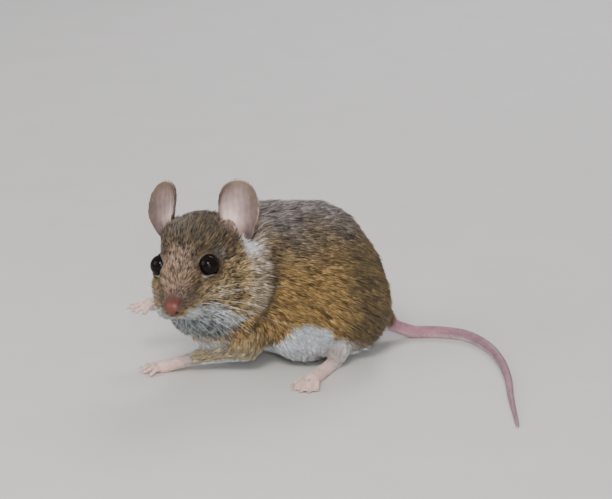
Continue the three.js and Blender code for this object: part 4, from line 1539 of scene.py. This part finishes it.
# ---- eyes: glossy, nearly black, with a faint brown depth
def ball(centre, radius, axis, across=48, around=64):
    side = unit(np.cross(axis, [0, 0.1, 1.0]))
    lift = np.cross(side, axis)
    made, faces = [centre + axis * radius * 1.02], []
    for i in range(1, across):
        t = i / across * math.pi
        # the clear front stands a little proud
        size = radius * (1 + 0.02 * max(0, math.cos(t)) ** 6)
        for k in range(around):
            angle = k / around * 2 * math.pi
            outward = axis * math.cos(t) + (side * math.cos(angle) + lift * math.sin(angle)) * math.sin(t)
            made.append(centre + outward * size)
    made.append(centre - axis * radius)
    starts = [1 + ring * around for ring in range(across - 1)]
    for k in range(around):
        following = (k + 1) % around
        faces.append([0, 1 + k, 1 + following])
        faces.append([starts[-1] + following, starts[-1] + k, len(made) - 1])
    faces.extend(ringFaces(starts, around))
    return made, faces


eyeParts = []
for side, centre in zip((1, -1), eyeCentres):
    axis = headTurned @ lidFrame(side)[0]
    eyeParts.append(ball(centre, pose["eyeRadius"], axis))
eyeColours = ((0.0035, 0.0028, 0.0026), (0.011, 0.007, 0.005))
eyes = addPiece("eyes", eyeParts, grainedMaterial("eye_gloss", 0.05, 0.1, 0.0006, 3.0, eyeColours))
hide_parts("eye_left", "eye_right")

# ---- whiskers: long tapering bristles in rows on the muzzle
whisker = {
    "seed": 5,
    "rows": 4,
    "columns": 5,
    "shortest": 4.0,
    "longest": 18.0,
    "radius": 0.042,
    "tip": 0.01,
    "bury": 0.2,
    "floorGap": 0.15,
}


def whiskerParts():
    rng = np.random.default_rng(whisker["seed"])
    made = []
    for side in (1, -1):
        for row in range(whisker["rows"]):
            for column in range(whisker["columns"]):
                back = column / (whisker["columns"] - 1)
                low = row / (whisker["rows"] - 1)
                spot = np.array([9.6 - 4.6 * back, side * 5, -4.4 - 3.2 * low + 0.8 * back])
                spot += rng.normal(0, 0.12, 3)
                _, k, _ = skinTree.find(fromHead(spot))
                size = whisker["shortest"] + (whisker["longest"] - whisker["shortest"]) * back ** 0.8
                size *= rng.uniform(0.75, 1.05)
                out = np.array([-0.7 - 0.2 * back, side * (0.75 - 0.1 * back), -0.5 - 0.8 * low])
                out = unit(out + rng.normal(0, 0.08, 3)) @ headTurned.T
                away = unit(out + normals[k] * 0.35)
                droop = np.array([-0.1, 0, -0.13]) * rng.uniform(0.5, 1.5)
                steps = np.linspace(0, 1, 14)
                path = points[k] - away * whisker["bury"] + away * (steps * size)[:, None]
                path += droop * (steps ** 2 * size)[:, None]
                path[:, 2] = np.maximum(path[:, 2], whisker["floorGap"])
                thick = whisker["radius"] * (0.55 + 0.45 * back)
                radii = whisker["tip"] + (thick - whisker["tip"]) * (1 - steps)
                made.append(tube(path, radii, 5))
    return made


whiskerColours = (paint("#8d8278"), paint("#ffffff"))
whiskerFinish = grainedMaterial("whisker_bristle", 0.3, 0.5, 0.004, 1.0, whiskerColours, (0.35, 0.55))
addPiece("whiskers", whiskerParts(), whiskerFinish)

# ---- floor, light and camera
studio = {
    "target": (-2.517, 14.469, 24.8),
    "elevation": 18,
    "distance": 500,
    "widthAcross": 142.3,
    "sensor": 36,
    "floorHalf": 3.0,
}


half = studio["floorHalf"]
floorCorners = [(-half, -half, 0), (half, -half, 0), (half, half, 0), (-half, half, 0)]
floorMesh = meshFrom("floor", floorCorners, [[0, 1, 2, 3]])
floorColours = (paint("#cfccc6"), paint("#d8d5d0"))
floorMesh.materials.append(grainedMaterial("studio_floor", 0.75, 0.3, 0.02, 4.0, floorColours))
floor = addObject("floor", floorMesh)


def addLight(name, place, size, energy, tint):
    light = bpy.data.lights.new(name, "AREA")
    light.shape = "DISK"
    light.size = size
    light.energy = energy
    light.color = tint
    made = addObject(name, light)
    made.location = place
    made.rotation_euler = (target - Vector(place)).to_track_quat("-Z", "Y").to_euler()


target = Vector(studio["target"]) * mm
rise = math.radians(studio["elevation"])
back = Vector((0, -math.cos(rise), math.sin(rise)))
camera = bpy.data.cameras.new("camera")
camera.sensor_width = studio["sensor"]
camera.lens = studio["sensor"] * studio["distance"] / studio["widthAcross"]
camera.clip_start = 0.01
cameraObject = addObject("camera", camera)
cameraObject.location = target + back * studio["distance"] * mm
cameraObject.rotation_euler = (-back).to_track_quat("-Z", "Y").to_euler()
bpy.context.scene.camera = cameraObject

# each light's place in metres, its size, energy and tint
catchPlace = target + back * 0.52 + Vector((0.02, 0, 0.06))
lights = {
    "key": ((-0.1, -0.48, 0.52), 0.26, 3.3, (1.0, 0.97, 0.93)),
    "fill": ((-0.5, -0.15, 0.3), 0.35, 1.1, (0.93, 0.96, 1.0)),
    "rim": ((0.15, 0.5, 0.45), 0.3, 2.0, (0.94, 0.92, 1.0)),
    "low": ((0.05, -0.46, 0.07), 0.3, 0.55, (0.92, 0.96, 1.0)),
    "catch": (tuple(catchPlace), 0.06, 0.55, (1.0, 1.0, 1.0)),
}
for name, values in lights.items():
    addLight(name, *values)
world = bpy.data.worlds.new("studio")
bpy.context.scene.world = world
world.use_nodes = True
sky = world.node_tree.nodes["Background"]
sky.inputs["Color"].default_value = (0.86, 0.89, 0.93, 1)
sky.inputs["Strength"].default_value = 0.47
